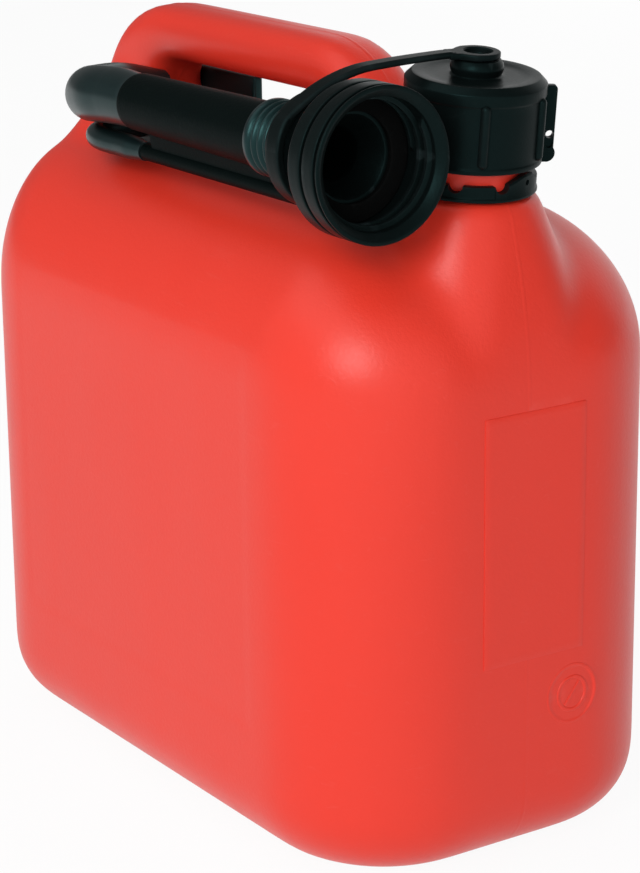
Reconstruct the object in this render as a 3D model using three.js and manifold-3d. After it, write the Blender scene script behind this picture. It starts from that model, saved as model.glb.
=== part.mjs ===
// A five-litre fuel can: blow-moulded tank with handle and neck, screw cap, strap and stowed pouring spout.
// Millimetres, +Z up, +X towards the neck, origin in the middle of the base.
import * as THREE from "three";
import { mergeVertices } from "three/addons/utils/BufferGeometryUtils.js";
import Module from "manifold-3d";

const wasm = await Module();
wasm.setup();

// Clearances
const seatGap = 0.3;
const threadGap = 0.7;
const crestGap = 0.6;
const sweepGap = 0.4;

// Tank
const bodyLength = 243;
const bodyWidth = 135;
const tankHeight = 201;
const wall = 2.2;
const cornerRadius = 46;
const baseRadius = 23;
const shoulderDrop = 47;
const sideReach = 44;
const frontReach = 60;
const rearReach = 18;

// Handle
const handleWidth = 26;
const gripThickness = 18.4;
const gripRoundness = 0.44;
const openingHeight = 28.4;
const openingSink = 5;
const openingRound = 16;
const handleRearSetback = 8.5;
const rearPost = 33.5;
const frontPost = 20;
const rearRound = 42;
const frontRound = 42;
const handleRoot = 32;
const footRise = 25.5;
const footDepth = 11;
const footReach = 30;
const footRound = 12;
const handleCapGap = 7.1;

// Neck
const neckSetback = 30.8;
const neckLean = 6;
const neckRadius = 17.4;
const neckWall = 2.2;
const neckHeight = 28.1;
const shelfRise = 9.4;
const shelfRadius = 20.4;
const flareReach = 20;
const threadDepth = 1.3;
const threadPitch = 4;
const threadWidth = 2.4;
const neckTurns = 1.5;
const threadSetback = 3;
const lipChamfer = 1;

// Ring on the neck
const ringHeight = 4.8;
const ringRadius = 20.5;
const ringNotchRadius = 2.2;
const ringNotchAngles = [-49, -8, 131, 172];
const ringLugAngle = 20;
const ringLugLength = 7;
const ringLugRise = 2.5;
const ringEyeRadius = 0.9;

// Cap
const capWall = 1.9;
const capDrop = 19.2;
const capTop = 2.3;
const capChamfer = 2;
const capRimWidth = 1.6;
const capDish = 0.6;
const capTurns = 1.5;
const gasketThickness = 1.9;
const gasketBore = 12;
const ribCount = 6;
const ribRadius = 1.5;
const ribLength = 16;
const ribSink = 0.3;
const ribAngle = -28;
const finAngle = 62;
const finReach = 3.3;
const finThickness = 2.6;
const finHeight = 23.5;
const finEyeRadius = 1;
const finEyeHeights = [5.6, 8.6];
const knobHeight = 5;
const knobRadius = 8.1;
const knobWaist = 7.3;
const pinRadius = 3.9;
const pinRise = 0.6;
const pinWall = 1;
const pinBoreDepth = 4;

// Strap
const strapWidth = 6.5;
const strapThickness = 1.9;
const eyeletRadius = 6.8;
const eyeletTongue = 10;
const strapRise = 3.2;
const strapRingWidth = 6.7;
const strapRingWall = 2.4;

// Spout
const collarWall = 3.6;
const collarThreadLength = 17;
const collarTurns = 2.1;
const collarFlange = 2;
const collarShoulder = 4.5;
const collarShoulderDrop = 3.2;
const collarGroove = 1.3;
const collarGrooveWidth = 1.3;
const collarRidges = 2;
const collarLip = 0.9;
const mouthLip = 1.5;
const mouthFlare = 3;
const collarRootLength = 24;
const collarRootRadius = 12.4;
const strapSeat = 14.6;
const strapSeatLength = 5.5;
const strapSeatSetback = 10.25;
const spoutRise = 24.5;
const mouthAhead = 24.3;
const bellowsLength = 13.5;
const bellowsRibs = 4;
const bellowsDepth = 1.7;
const tubeLength = 79;
const tubeFrontRadius = 10.2;
const tubeRearRadius = 9.3;
const tubeWall = 2.2;
const ventRadius = 2.8;
const ventBore = 1.6;
const ventAngle = 13;
const ventOverhang = 4;
const webThickness = 2.4;
const webSink = 0.6;
const webSetback = 2;

// Holder
const spigotLength = 12;
const ventSpigotLength = 9;
const elbowRadius = 20;
const elbowDrop = 8;
const elbowClear = 2.2;
const ventElbowRadius = 4;
const holderBridge = 30;
const holderBridgeHeight = 8;
const holderPlate = 3.6;
const holderPostDepth = 7;
const holderPlateHeight = 22.5;
const holderEarReach = 6.4;
const holderEarHeight = 4.2;

// Facets
const roundSides = 36;
const cornerSteps = 6;
const tubeSides = 14;

const radians = THREE.MathUtils.degToRad;

// Places worked out from the sizes above
const neckX = bodyLength / 2 - neckSetback;
const shelfZ = tankHeight + shelfRise;
const neckTop = shelfZ + neckHeight;
const flareDrop = shelfRise + shoulderDrop;
const threadStart = neckTop - threadSetback - neckTurns * threadPitch;
const capBore = neckRadius + threadDepth + threadGap;
const capRadius = capBore + capWall;
const capInnerTop = neckTop + seatGap + gasketThickness;
const capBottom = neckTop - capDrop;
const capRim = capInnerTop + capTop;
const capCrownZ = capRim + capChamfer - capDish;
const eyeletZ = capCrownZ + knobHeight + seatGap;
const handleRearX = -bodyLength / 2 + handleRearSetback;
const handleFrontX = neckX - capRadius - handleCapGap;
const handleTop = tankHeight + openingHeight + gripThickness;
const openingRearX = handleRearX + rearPost;
const openingFrontX = handleFrontX - frontPost;
const collarRadius = capBore + collarWall;
const spoutY = -(capRadius + finReach + sweepGap + collarRadius);
const spoutZ = tankHeight + spoutRise;
const mouthX = neckX + mouthAhead;
const flangeX = mouthX - collarThreadLength - collarFlange;
const collarRearX = flangeX - collarRootLength;
const bellowsRearX = collarRearX - bellowsLength;
const tubeRearX = bellowsRearX - tubeLength;
const strapX = flangeX - strapSeatSetback - strapSeatLength / 2;
const strapRingBore = strapSeat + seatGap;
const ventOffset = strapSeat + seatGap + ventRadius;
const ventY = spoutY + ventOffset * Math.sin(radians(ventAngle));
const ventZ = spoutZ - ventOffset * Math.cos(radians(ventAngle));
const ventRearX = tubeRearX - ventOverhang;
const crossX = openingRearX + seatGap + tubeRearRadius + elbowClear;

// The forward lean of the neck about its shelf, or a share of it about another height.
function leaning(share = 1, z = shelfZ) {
  const about = new THREE.Vector3(neckX, 0, z);
  const lean = new THREE.Matrix4().makeRotationY(radians(neckLean) * share);
  return lean.setPosition(about.clone().sub(about.clone().applyMatrix4(lean)));
}

const alongZ = new THREE.Matrix4().set(0, 0, 1, 0, 1, 0, 0, 0, 0, 1, 0, 0, 0, 0, 0, 1);
const alongX = new THREE.Matrix4().set(0, 1, 0, 0, 0, 0, 1, 0, 1, 0, 0, 0, 0, 0, 0, 1);
const upright = new THREE.Matrix4().set(1, 0, 0, 0, 0, 0, -1, 0, 0, 1, 0, 0, 0, 0, 0, 1);

// Turns a closed geometry into a solid whose faces point outwards.
function solid(geometry) {
  const bare = geometry.clone();
  bare.deleteAttribute("normal");
  bare.deleteAttribute("uv");
  const merged = mergeVertices(bare, 1e-4);
  const index = [...merged.index.array];
  const whole = (i) => new Set(index.slice(i - (i % 3), i - (i % 3) + 3)).size === 3;
  const triVerts = Uint32Array.from(index.filter((_, i) => whole(i)));
  const vertProperties = Float32Array.from(merged.attributes.position.array);
  const corner = (i) => new THREE.Vector3().fromArray(vertProperties, 3 * triVerts[i]);
  let volume = 0;
  for (let i = 0; i < triVerts.length; i += 3) {
    volume += corner(i).dot(corner(i + 1).cross(corner(i + 2)));
  }
  if (volume < 0) triVerts.reverse();
  return new wasm.Manifold(new wasm.Mesh({ numProp: 3, vertProperties, triVerts }));
}

// Turns a solid back into a geometry.
function shape(body) {
  const { vertProperties, triVerts } = body.getMesh();
  const geometry = new THREE.BufferGeometry();
  geometry.setAttribute("position", new THREE.BufferAttribute(vertProperties, 3));
  geometry.setIndex(new THREE.BufferAttribute(triVerts, 1));
  geometry.computeVertexNormals();
  return geometry;
}

const moved = (geometry, x, y, z) => geometry.translate(x, y, z);
const points2 = (pairs) => pairs.map(([a, b]) => new THREE.Vector2(a, b));

// Leans an upright body forward with the neck.
const leaned = (body) => body.transform([...leaning().elements]);

// A body of revolution about an upright axis through the neck's shelf; pairs are radius and height.
function turnedZ(pairs) {
  return solid(moved(new THREE.LatheGeometry(points2(pairs), roundSides).applyMatrix4(alongZ), neckX, 0, 0));
}

// A body of revolution about an axis along the spout; pairs are radius and X.
function turnedX(pairs, y = spoutY, z = spoutZ, sides = roundSides) {
  return solid(moved(new THREE.LatheGeometry(points2(pairs), sides).applyMatrix4(alongX), 0, y, z));
}

const ringZ = (bore, radius, low, high) =>
  turnedZ([[bore, low], [radius, low], [radius, high], [bore, high], [bore, low]]);
const cylinderZ = (radius, low, high) =>
  turnedZ([[0, low], [radius, low], [radius, high], [0, high]]);
const cylinderX = (radius, low, high, y, z, sides) =>
  turnedX([[0, low], [radius, low], [radius, high], [0, high]], y, z, sides);
const ringX = (bore, radius, low, high, y, z, sides) =>
  turnedX([[bore, low], [radius, low], [radius, high], [bore, high], [bore, low]], y, z, sides);

function block(x0, x1, y0, y1, z0, z1) {
  const box = new THREE.BoxGeometry(x1 - x0, y1 - y0, z1 - z0);
  return solid(moved(box, (x0 + x1) / 2, (y0 + y1) / 2, (z0 + z1) / 2));
}

// Skins rings of equal point counts and closes both ends.
function loft(rings) {
  const count = rings[0].length;
  const middle = (ring) => ring.reduce((sum, p) => sum.add(p), new THREE.Vector3()).divideScalar(count);
  const vertices = [...rings.flat(), middle(rings[0]), middle(rings.at(-1))];
  const first = rings.length * count;
  const last = (rings.length - 1) * count;
  const index = [];
  for (let i = 0; i < count; i += 1) {
    const next = (i + 1) % count;
    for (let k = 0; k + 1 < rings.length; k += 1) {
      const row = k * count;
      index.push(row + i, row + next, row + count + i, row + next, row + count + next, row + count + i);
    }
    index.push(first, next, i, first + 1, last + i, last + next);
  }
  const geometry = new THREE.BufferGeometry().setFromPoints(vertices);
  geometry.setIndex(index);
  return solid(geometry);
}

// A level rectangle with round corners, given by its middle, half lengths, corner radius and height.
function roundedRing(middle, halfX, halfY, radius, z) {
  const ring = [];
  for (const [quarter, signX, signY] of [[0, 1, 1], [1, -1, 1], [2, -1, -1], [3, 1, -1]]) {
    for (let k = 0; k <= cornerSteps; k += 1) {
      const angle = (quarter + k / cornerSteps) * (Math.PI / 2);
      const x = middle + signX * (halfX - radius) + radius * Math.cos(angle);
      const y = signY * (halfY - radius) + radius * Math.sin(angle);
      ring.push(new THREE.Vector3(x, y, z));
    }
  }
  return ring;
}

// One level of the tank; draw runs from 0 at the walls to 1 at the top or bottom face.
function level(draw, [side, front, rear], z, margin) {
  const low = margin - bodyLength / 2 + rear * draw;
  const high = bodyLength / 2 - margin - front * draw;
  const halfY = bodyWidth / 2 - margin - side * draw;
  const radius = Math.max(cornerRadius - margin - side * draw, 1);
  return roundedRing((low + high) / 2, (high - low) / 2, halfY, radius, z);
}

// The tank without handle or neck; margin draws every face in.
function tank(margin) {
  const base = baseRadius - margin;
  const drop = shoulderDrop - margin;
  const reaches = [sideReach, frontReach, rearReach].map((reach) => reach - margin);
  const rings = [];
  for (let k = 0; k <= 5; k += 1) {
    const angle = (k / 5) * (Math.PI / 2);
    const z = margin + base * (1 - Math.cos(angle));
    rings.push(level(1 - Math.sin(angle), [base, base, base], z, margin));
  }
  for (let k = 0; k <= 8; k += 1) {
    const angle = (k / 8) * (Math.PI / 2);
    const z = tankHeight - margin - drop * (1 - Math.sin(angle));
    rings.push(level(1 - Math.cos(angle), reaches, z, margin));
  }
  return loft(rings);
}

// The handle with its opening, as a side profile with rounded edges; margin draws every face in.
function handle(margin) {
  const rear = handleRearX + margin;
  const front = handleFrontX - margin;
  const top = handleTop - margin;
  const root = tankHeight - handleRoot;
  const rearArc = rearRound - margin;
  const frontArc = frontRound - margin;
  const edge = gripRoundness * gripThickness - margin;
  const profile = new THREE.Shape();
  profile.moveTo(rear, root);
  profile.lineTo(front, root);
  profile.lineTo(front, top - frontArc);
  profile.absarc(front - frontArc, top - frontArc, frontArc, 0, Math.PI / 2, false);
  profile.lineTo(rear + rearArc, top);
  profile.absarc(rear + rearArc, top - rearArc, rearArc, Math.PI / 2, Math.PI, false);
  const left = openingRearX - margin;
  const right = openingFrontX + margin;
  const roof = tankHeight + openingHeight + margin;
  const floor = tankHeight - openingSink - margin;
  const corner = openingRound + margin;
  const hole = new THREE.Path();
  hole.moveTo(left, floor);
  hole.lineTo(left, roof - corner);
  hole.absarc(left + corner, roof - corner, corner, Math.PI, Math.PI / 2, true);
  hole.lineTo(right - corner, roof);
  hole.absarc(right - corner, roof - corner, corner, Math.PI / 2, 0, true);
  hole.lineTo(right, floor);
  profile.holes.push(hole);
  const depth = handleWidth - 2 * margin - 2 * edge;
  const bevel = { bevelThickness: edge, bevelSize: edge, bevelOffset: -edge, bevelSegments: 4 };
  const geometry = new THREE.ExtrudeGeometry(profile, { depth, curveSegments: 7, ...bevel });
  return solid(moved(geometry.applyMatrix4(upright), 0, depth / 2, 0));
}

// The handle's rear foot, spreading from the post into the shoulder; margin draws every face in.
function handleFoot(margin) {
  const rings = [];
  for (let k = 0; k <= 7; k += 1) {
    const rise = k / 7;
    const z = tankHeight - margin + THREE.MathUtils.lerp(-footDepth, footRise, rise);
    const over = Math.max(0, z + margin - handleTop + rearRound);
    const low = handleRearX + margin + rearRound - Math.sqrt(rearRound ** 2 - over ** 2);
    const high = openingRearX - seatGap - margin;
    const halfX = (high - low) / 2;
    const halfY = handleWidth / 2 + footReach * (1 - rise) ** 1.7 - margin;
    const radius = Math.min(footRound, 0.95 * halfX, 0.95 * halfY);
    rings.push(roundedRing((low + high) / 2, halfX, halfY, radius, z));
  }
  return loft(rings);
}

// The neck's flared foot: front runs down into the end wall, sides into the shoulders, top leans forward.
function neckFoot(margin) {
  const rings = [];
  for (let k = 0; k <= 8; k += 1) {
    const rise = k / 8;
    const front = THREE.MathUtils.lerp(neckSetback, shelfRadius, rise ** 1.6);
    const halfX = (shelfRadius + front) / 2 - margin;
    const halfY = shelfRadius + flareReach * (1 - rise) - margin;
    const z = shelfZ - margin - flareDrop * (1 - rise);
    const ring = roundedRing(neckX + (front - shelfRadius) / 2, halfX, halfY, Math.min(halfX, halfY), z);
    rings.push(ring.map((p) => p.applyMatrix4(leaning(rise ** 2, z))));
  }
  return loft(rings);
}

// A helical ridge from a root radius to a crest radius, about the Z axis, starting at angle zero.
function ridge(root, crest, start, turns) {
  const steps = Math.round(turns * 24);
  const slope = 0.25 * threadWidth;
  const rings = [];
  for (let k = 0; k <= steps; k += 1) {
    const angle = (k / steps) * turns * 2 * Math.PI;
    const height = start + (threadPitch * angle) / (2 * Math.PI);
    const half = threadWidth / 2;
    const section = [[root, -half], [crest, slope - half], [crest, half - slope], [root, half]];
    const [cos, sin] = [Math.cos(angle), Math.sin(angle)];
    rings.push(section.map(([r, h]) => new THREE.Vector3(r * cos, r * sin, height + h)));
  }
  return shape(loft(rings));
}

function canBody() {
  const shell = (margin) => tank(margin).add(handle(margin)).add(handleFoot(margin)).add(neckFoot(margin));
  const neck = turnedZ([
    [0, shelfZ - 2], [neckRadius, shelfZ - 2], [neckRadius, neckTop - lipChamfer],
    [neckRadius - lipChamfer, neckTop], [0, neckTop],
  ]);
  const helix = ridge(neckRadius - seatGap, neckRadius + threadDepth, threadStart, neckTurns);
  const bore = cylinderZ(neckRadius - neckWall, shelfZ - flareDrop, neckTop + 1);
  const barrel = leaned(neck.add(solid(moved(helix, neckX, 0, 0))));
  return shell(0).add(barrel).subtract(shell(wall).add(leaned(bore)));
}

const spot = (radius, degrees, z) => [
  neckX + radius * Math.cos(radians(degrees)), radius * Math.sin(radians(degrees)), z,
];

// A geometry drawn along +X from the neck's axis, turned about that axis.
function around(geometry, degrees) {
  return solid(moved(geometry.rotateZ(radians(degrees)), neckX, 0, 0));
}

function neckRing() {
  const low = shelfZ + seatGap;
  const high = low + ringHeight;
  const bore = neckRadius + seatGap;
  const lugTop = high + ringLugRise;
  const depth = ringRadius - bore;
  const middle = bore + depth / 2;
  const drill = (radius) => new THREE.CylinderGeometry(radius, radius, 3 * depth, 12).rotateZ(Math.PI / 2);
  const lug = new THREE.BoxGeometry(depth, ringLugLength, lugTop - low);
  lug.translate(middle, 0, (low + lugTop) / 2);
  let ring = ringZ(bore, ringRadius, low, high);
  ring = ring.add(around(lug, ringLugAngle).subtract(cylinderZ(bore, low - 1, lugTop + 1)));
  for (const degrees of ringNotchAngles) {
    ring = ring.subtract(around(drill(ringNotchRadius).translate(middle, 0, high), degrees));
  }
  return leaned(ring.subtract(around(drill(ringEyeRadius).translate(middle, 0, high), ringLugAngle)));
}

function capSeal() {
  return leaned(ringZ(gasketBore, capBore - seatGap, neckTop + seatGap, capInnerTop));
}

// The seal fin: a thin upright plate on the cap's wall with two small eyes near its foot.
function capFin() {
  const low = capBottom - 1;
  const plate = new THREE.Shape();
  plate.moveTo(capRadius - 1, low);
  plate.lineTo(capRadius + finReach - 1, low);
  plate.lineTo(capRadius + finReach, low + 2);
  plate.lineTo(capRadius + finReach, low + finHeight - 1.5);
  plate.lineTo(capRadius + finReach - 1.5, low + finHeight);
  plate.lineTo(capRadius - 1, low + finHeight);
  for (const height of finEyeHeights) {
    const eye = new THREE.Path();
    eye.absarc(capRadius + finReach / 2, low + height, finEyeRadius, 0, 2 * Math.PI, true);
    plate.holes.push(eye);
  }
  const options = { depth: finThickness, bevelEnabled: false, curveSegments: 6 };
  const geometry = new THREE.ExtrudeGeometry(plate, options);
  return around(geometry.applyMatrix4(upright).translate(0, finThickness / 2, 0), finAngle);
}

function screwCap() {
  const knobLow = capCrownZ;
  const knobHigh = knobLow + knobHeight;
  const pinTop = eyeletZ + pinRise;
  const pinBore = pinRadius - pinWall;
  const rimRadius = capRadius - capChamfer;
  const rimTop = capRim + capChamfer;
  let cap = turnedZ([
    [0, capInnerTop], [capBore, capInnerTop], [capBore, capBottom], [capRadius, capBottom],
    [capRadius, capRim], [rimRadius, rimTop], [rimRadius - capRimWidth, rimTop],
    [rimRadius - capRimWidth - capDish, knobLow], [knobWaist, knobLow],
    [knobRadius, (knobLow + knobHigh) / 2], [knobWaist, knobHigh], [pinRadius, knobHigh],
    [pinRadius, pinTop], [pinBore, pinTop],
    [pinBore, pinTop - pinBoreDepth], [0, pinTop - pinBoreDepth],
  ]);
  // Its helix runs half a pitch below the neck's, one whole turn further down.
  const thread = ridge(capBore + seatGap, neckRadius + crestGap, threadStart - 1.5 * threadPitch, capTurns);
  cap = cap.add(solid(moved(thread, neckX, 0, 0)));
  for (let k = 0; k < ribCount; k += 1) {
    const rib = new THREE.CapsuleGeometry(ribRadius, ribLength, 2, 8).rotateX(Math.PI / 2);
    const height = capBottom + 2 + ribRadius + ribLength / 2;
    cap = cap.add(around(rib.translate(capRadius - ribSink, 0, height), ribAngle + (k * 360) / ribCount));
  }
  return leaned(cap.add(capFin()));
}

const eyeletX = new THREE.Vector3(neckX, 0, eyeletZ).applyMatrix4(leaning()).x;
const strapAngle = THREE.MathUtils.radToDeg(Math.atan2(spoutY, strapX - eyeletX));

function strapEyelet() {
  const high = eyeletZ + strapThickness;
  const bore = pinRadius + seatGap;
  const ring = ringZ(bore, eyeletRadius, eyeletZ, high);
  const tongue = new THREE.BoxGeometry(eyeletTongue - bore - 1, strapWidth, strapThickness);
  tongue.translate((eyeletTongue + bore + 1) / 2, 0, eyeletZ + strapThickness / 2);
  return leaned(ring.add(around(tongue, strapAngle)));
}

// The band lies flat on top of the strap ring and rises to the eyelet's tongue.
function strapBand() {
  const ringTop = spoutZ + strapRingBore + strapRingWall + seatGap + strapThickness / 2;
  const eyeletMiddle = eyeletZ + strapThickness / 2;
  const tip = new THREE.Vector3(...spot(eyeletTongue + 2 * seatGap, strapAngle, eyeletMiddle));
  const start = tip.applyMatrix4(leaning());
  const end = new THREE.Vector3(strapX, spoutY, ringTop);
  const rise = new THREE.Vector3(0, 0, strapRise);
  const route = new THREE.CatmullRomCurve3([
    start,
    start.clone().lerp(end, 0.28).addScaledVector(rise, 0.25),
    start.clone().lerp(end, 0.55).addScaledVector(rise, 0.45),
    start.clone().lerp(end, 0.82).addScaledVector(rise, 0.35),
    end,
  ]);
  const rings = route.getPoints(16).map((p, k, all) => {
    const along = all[Math.min(k + 1, all.length - 1)].clone().sub(all[Math.max(k - 1, 0)]).normalize();
    const side = new THREE.Vector3(-along.y, along.x, 0).normalize();
    const up = new THREE.Vector3().crossVectors(along, side);
    const half = side.multiplyScalar(strapWidth / 2);
    const thick = up.multiplyScalar(strapThickness / 2);
    const at = (a, b) => p.clone().addScaledVector(half, a).addScaledVector(thick, b);
    return [at(-1, -1), at(1, -1), at(1, 1), at(-1, 1)];
  });
  return loft(rings);
}

// The ring snaps on round its seat and is open where the air tube passes.
function strapRing() {
  const low = strapX - strapRingWidth / 2;
  const high = strapX + strapRingWidth / 2;
  const passage = cylinderX(ventRadius + seatGap, low - 1, high + 1, ventY, ventZ, tubeSides);
  return ringX(strapRingBore, strapRingBore + strapRingWall, low, high).subtract(passage);
}

// The collar: root tube with the strap's seat, sloped shoulder, then a ridged cup with the neck's thread.
function spoutCollar() {
  const bore = tubeFrontRadius - tubeWall;
  const groove = collarRadius - collarGroove;
  const shoulderX = flangeX + collarShoulder;
  const pitch = (mouthX - collarLip - shoulderX) / collarRidges;
  const ridges = [];
  for (let k = 0; k < collarRidges; k += 1) {
    const low = shoulderX + k * pitch;
    const high = low + pitch - collarGrooveWidth;
    ridges.push([collarRadius, low], [collarRadius, high], [groove, high], [groove, low + pitch]);
  }
  const seatLow = strapX - strapSeatLength / 2;
  const seatHigh = strapX + strapSeatLength / 2;
  const cup = turnedX([
    [bore, collarRearX], [collarRootRadius, collarRearX], [collarRootRadius, seatLow], [strapSeat, seatLow],
    [strapSeat, seatHigh], [collarRootRadius, seatHigh], [collarRootRadius + 1, flangeX],
    [collarRadius - collarShoulderDrop, flangeX], ...ridges, [collarRadius, mouthX - collarLip],
    [collarRadius, mouthX], [collarRadius - mouthLip, mouthX], [capBore, mouthX - mouthFlare],
    [capBore, flangeX + collarFlange], [collarRootRadius, flangeX + collarFlange],
    [bore, flangeX - 6], [bore, collarRearX],
  ]);
  const start = flangeX + collarFlange + gasketThickness + threadWidth;
  const helix = ridge(capBore + seatGap, neckRadius + crestGap, start, collarTurns);
  const thread = solid(moved(helix.rotateY(Math.PI / 2).rotateX(Math.PI / 2), 0, spoutY, spoutZ));
  const vent = cylinderX(ventBore, flangeX - 1, flangeX + collarFlange + 1, ventY, ventZ, tubeSides);
  return cup.add(thread).subtract(vent);
}

function spoutSeal() {
  const low = flangeX + collarFlange;
  const vent = cylinderX(ventBore, low - 1, low + gasketThickness + 1, ventY, ventZ, tubeSides);
  return ringX(collarRootRadius + 1, capBore - seatGap, low, low + gasketThickness).subtract(vent);
}

function spoutBellows() {
  const bore = tubeFrontRadius - tubeWall;
  const high = tubeFrontRadius + bellowsDepth;
  const pitch = bellowsLength / bellowsRibs;
  const folds = [];
  for (let k = 0; k < bellowsRibs; k += 1) {
    const x = bellowsRearX + k * pitch;
    folds.push([tubeFrontRadius, x], [high, x + 0.3 * pitch], [high, x + 0.7 * pitch]);
  }
  return turnedX([[bore, bellowsRearX], ...folds, [tubeFrontRadius, collarRearX], [bore, collarRearX],
    [bore, bellowsRearX]]);
}

function spoutTube() {
  return turnedX([
    [tubeRearRadius - tubeWall, tubeRearX], [tubeRearRadius, tubeRearX], [tubeFrontRadius, bellowsRearX],
    [tubeFrontRadius - tubeWall, bellowsRearX], [tubeRearRadius - tubeWall, tubeRearX],
  ]);
}

// The air tube, with a thin web that stands up from it towards the pouring tube.
function ventTube() {
  const low = tubeRearX + webSetback;
  const high = bellowsRearX - webSetback;
  const near = tubeFrontRadius + seatGap;
  const far = ventOffset - ventRadius + webSink;
  const web = new THREE.BoxGeometry(high - low, webThickness, far - near);
  web.translate((low + high) / 2, 0, -(near + far) / 2).rotateX(radians(ventAngle));
  moved(web, 0, spoutY, spoutZ);
  return ringX(ventBore, ventRadius, ventRearX, flangeX, ventY, ventZ, tubeSides).add(solid(web));
}

// A round bar along a route, with flat ends.
function bar(radius, points) {
  const section = new THREE.Shape().absarc(0, 0, radius, 0, 2 * Math.PI, false);
  const extrudePath = new THREE.CatmullRomCurve3(points.map((p) => new THREE.Vector3(...p)));
  return solid(new THREE.ExtrudeGeometry(section, { steps: 16, extrudePath, curveSegments: tubeSides }));
}

// The route of an elbow: back along a tube's axis, round towards the handle, in to the handle's near side.
function elbow(x, y, z, bend, drop, inner) {
  const turn = crossX + bend;
  return [
    [x, y, z], [(x + turn) / 2, y, z], [turn, y, z - 0.12 * drop],
    [turn - 0.7 * bend, y + 0.3 * bend, z - 0.4 * drop], [crossX, y + bend, z - 0.55 * drop],
    [crossX, inner, z - drop],
  ];
}

function spoutHolder() {
  const nearSide = -handleWidth / 2 - 1;
  const floor = tankHeight + seatGap;
  const pourX = tubeRearX - seatGap;
  const ventX = ventRearX - seatGap;
  const pour = bar(tubeRearRadius, elbow(pourX, spoutY, spoutZ, elbowRadius, elbowDrop, nearSide));
  const vent = bar(ventElbowRadius, elbow(ventX, ventY, ventZ, elbowRadius * 0.7, 0, nearSide));
  const spigot = cylinderX(tubeRearRadius - tubeWall - seatGap, pourX - 1, tubeRearX + spigotLength);
  const ventEnd = ventRearX + ventSpigotLength;
  const ventSpigot = cylinderX(ventBore - seatGap, ventX - 1, ventEnd, ventY, ventZ, tubeSides);
  const rear = openingRearX + seatGap;
  const front = rear + holderBridge;
  const near = nearSide - holderPostDepth;
  const far = handleWidth / 2 + seatGap;
  const postFront = rear + 2 * tubeRearRadius;
  const post = block(rear, postFront, near, nearSide + holderPlate, floor, spoutZ - elbowDrop);
  const bridge = block(rear, front, near, far + holderPlate, floor, floor + holderBridgeHeight);
  const plateTop = floor + holderPlateHeight;
  const plate = block(rear, front, far, far + holderPlate, floor, plateTop);
  const earLow = plateTop - holderEarHeight;
  const ear = block(rear - holderEarReach, rear + 1, far, far + holderPlate, earLow, plateTop);
  return [vent, spigot, ventSpigot, post, bridge, plate, ear].reduce((sum, piece) => sum.add(piece), pour);
}

const red = { color: 0xd8372b, roughness: 0.5, metalness: 0 };
const black = { color: 0x15191a, roughness: 0.45, metalness: 0 };
const rubber = { color: 0x232323, roughness: 0.85, metalness: 0 };

const can = new THREE.Group();
for (const [name, body, finish] of [
  ["can_body", canBody(), red],
  ["neck_ring", neckRing(), black],
  ["cap", screwCap(), black],
  ["cap_gasket", capSeal(), rubber],
  ["strap_eyelet", strapEyelet(), black],
  ["strap_band", strapBand(), black],
  ["strap_ring", strapRing(), black],
  ["spout_collar", spoutCollar(), black],
  ["spout_gasket", spoutSeal(), rubber],
  ["spout_bellows", spoutBellows(), black],
  ["spout_tube", spoutTube(), black],
  ["vent_tube", ventTube(), black],
  ["spout_holder", spoutHolder(), black],
]) {
  const mesh = new THREE.Mesh(shape(body), new THREE.MeshStandardMaterial(finish));
  mesh.name = name;
  can.add(mesh);
}

export default can;
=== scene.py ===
"""A red five-litre fuel can with its black cap, tether strap and stowed pouring spout, on a pale floor."""
import logging
import math
from dataclasses import dataclass
from enum import Enum
from typing import Callable, Sequence, Union

import bmesh
import bpy
from mathutils import Matrix, Vector


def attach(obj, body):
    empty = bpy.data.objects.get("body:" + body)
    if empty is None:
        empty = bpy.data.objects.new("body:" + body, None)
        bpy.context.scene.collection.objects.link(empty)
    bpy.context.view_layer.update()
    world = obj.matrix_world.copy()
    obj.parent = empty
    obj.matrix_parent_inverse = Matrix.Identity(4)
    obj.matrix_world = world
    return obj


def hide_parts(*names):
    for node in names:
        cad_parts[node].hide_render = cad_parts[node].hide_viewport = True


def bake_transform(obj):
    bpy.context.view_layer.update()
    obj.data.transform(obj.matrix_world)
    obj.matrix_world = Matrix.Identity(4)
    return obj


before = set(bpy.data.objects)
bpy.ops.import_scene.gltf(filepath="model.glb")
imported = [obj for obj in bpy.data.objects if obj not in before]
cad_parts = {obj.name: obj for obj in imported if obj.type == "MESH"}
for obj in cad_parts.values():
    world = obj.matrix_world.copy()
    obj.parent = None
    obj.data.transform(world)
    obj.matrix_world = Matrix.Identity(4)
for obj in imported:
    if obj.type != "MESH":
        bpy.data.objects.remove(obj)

MM = 0.001
TURN = 2 * math.pi
GRID = 2.4
WELD = 0.0005
TINY = 1e-4
THREAD_STEPS = 60
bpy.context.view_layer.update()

Colour = tuple[float, float, float, float]
Pair = tuple[float, float]
Points = Sequence[Vector]

log = logging.getLogger("fuel_can")


class Body(Enum):
    """The moving bodies of the frame."""

    CAN = "can"
    CARRIER = "cap_carrier"
    CAP = "cap"
    SPOUT = "spout"


class Slot(Enum):
    """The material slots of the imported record."""

    RED = "red_plastic"
    BLACK = "black_plastic"
    RUBBER = "rubber"


class Axis(Enum):
    """The two axes that turned pieces are made about."""

    UPRIGHT = 2
    LENGTHWISE = 0

    @property
    def vector(self) -> Vector:
        """The axis as a unit vector."""
        return Vector([1.0 if index == self.value else 0.0 for index in range(3)])

    def place(self, radius: float, along: float, angle: float = 0.0) -> Vector:
        """A point at a radius and an angle about the axis, some way along it.

        Args:
            radius: Distance from the axis.
            along: Distance along the axis.
            angle: Turn about the axis in radians, from +X when upright and from +Y when lengthwise.

        Returns:
            The point, with the axis through the origin.
        """
        first, second = radius * math.cos(angle), radius * math.sin(angle)
        if self is Axis.UPRIGHT:
            return Vector((first, second, along))
        return Vector((along, first, second))


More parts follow.
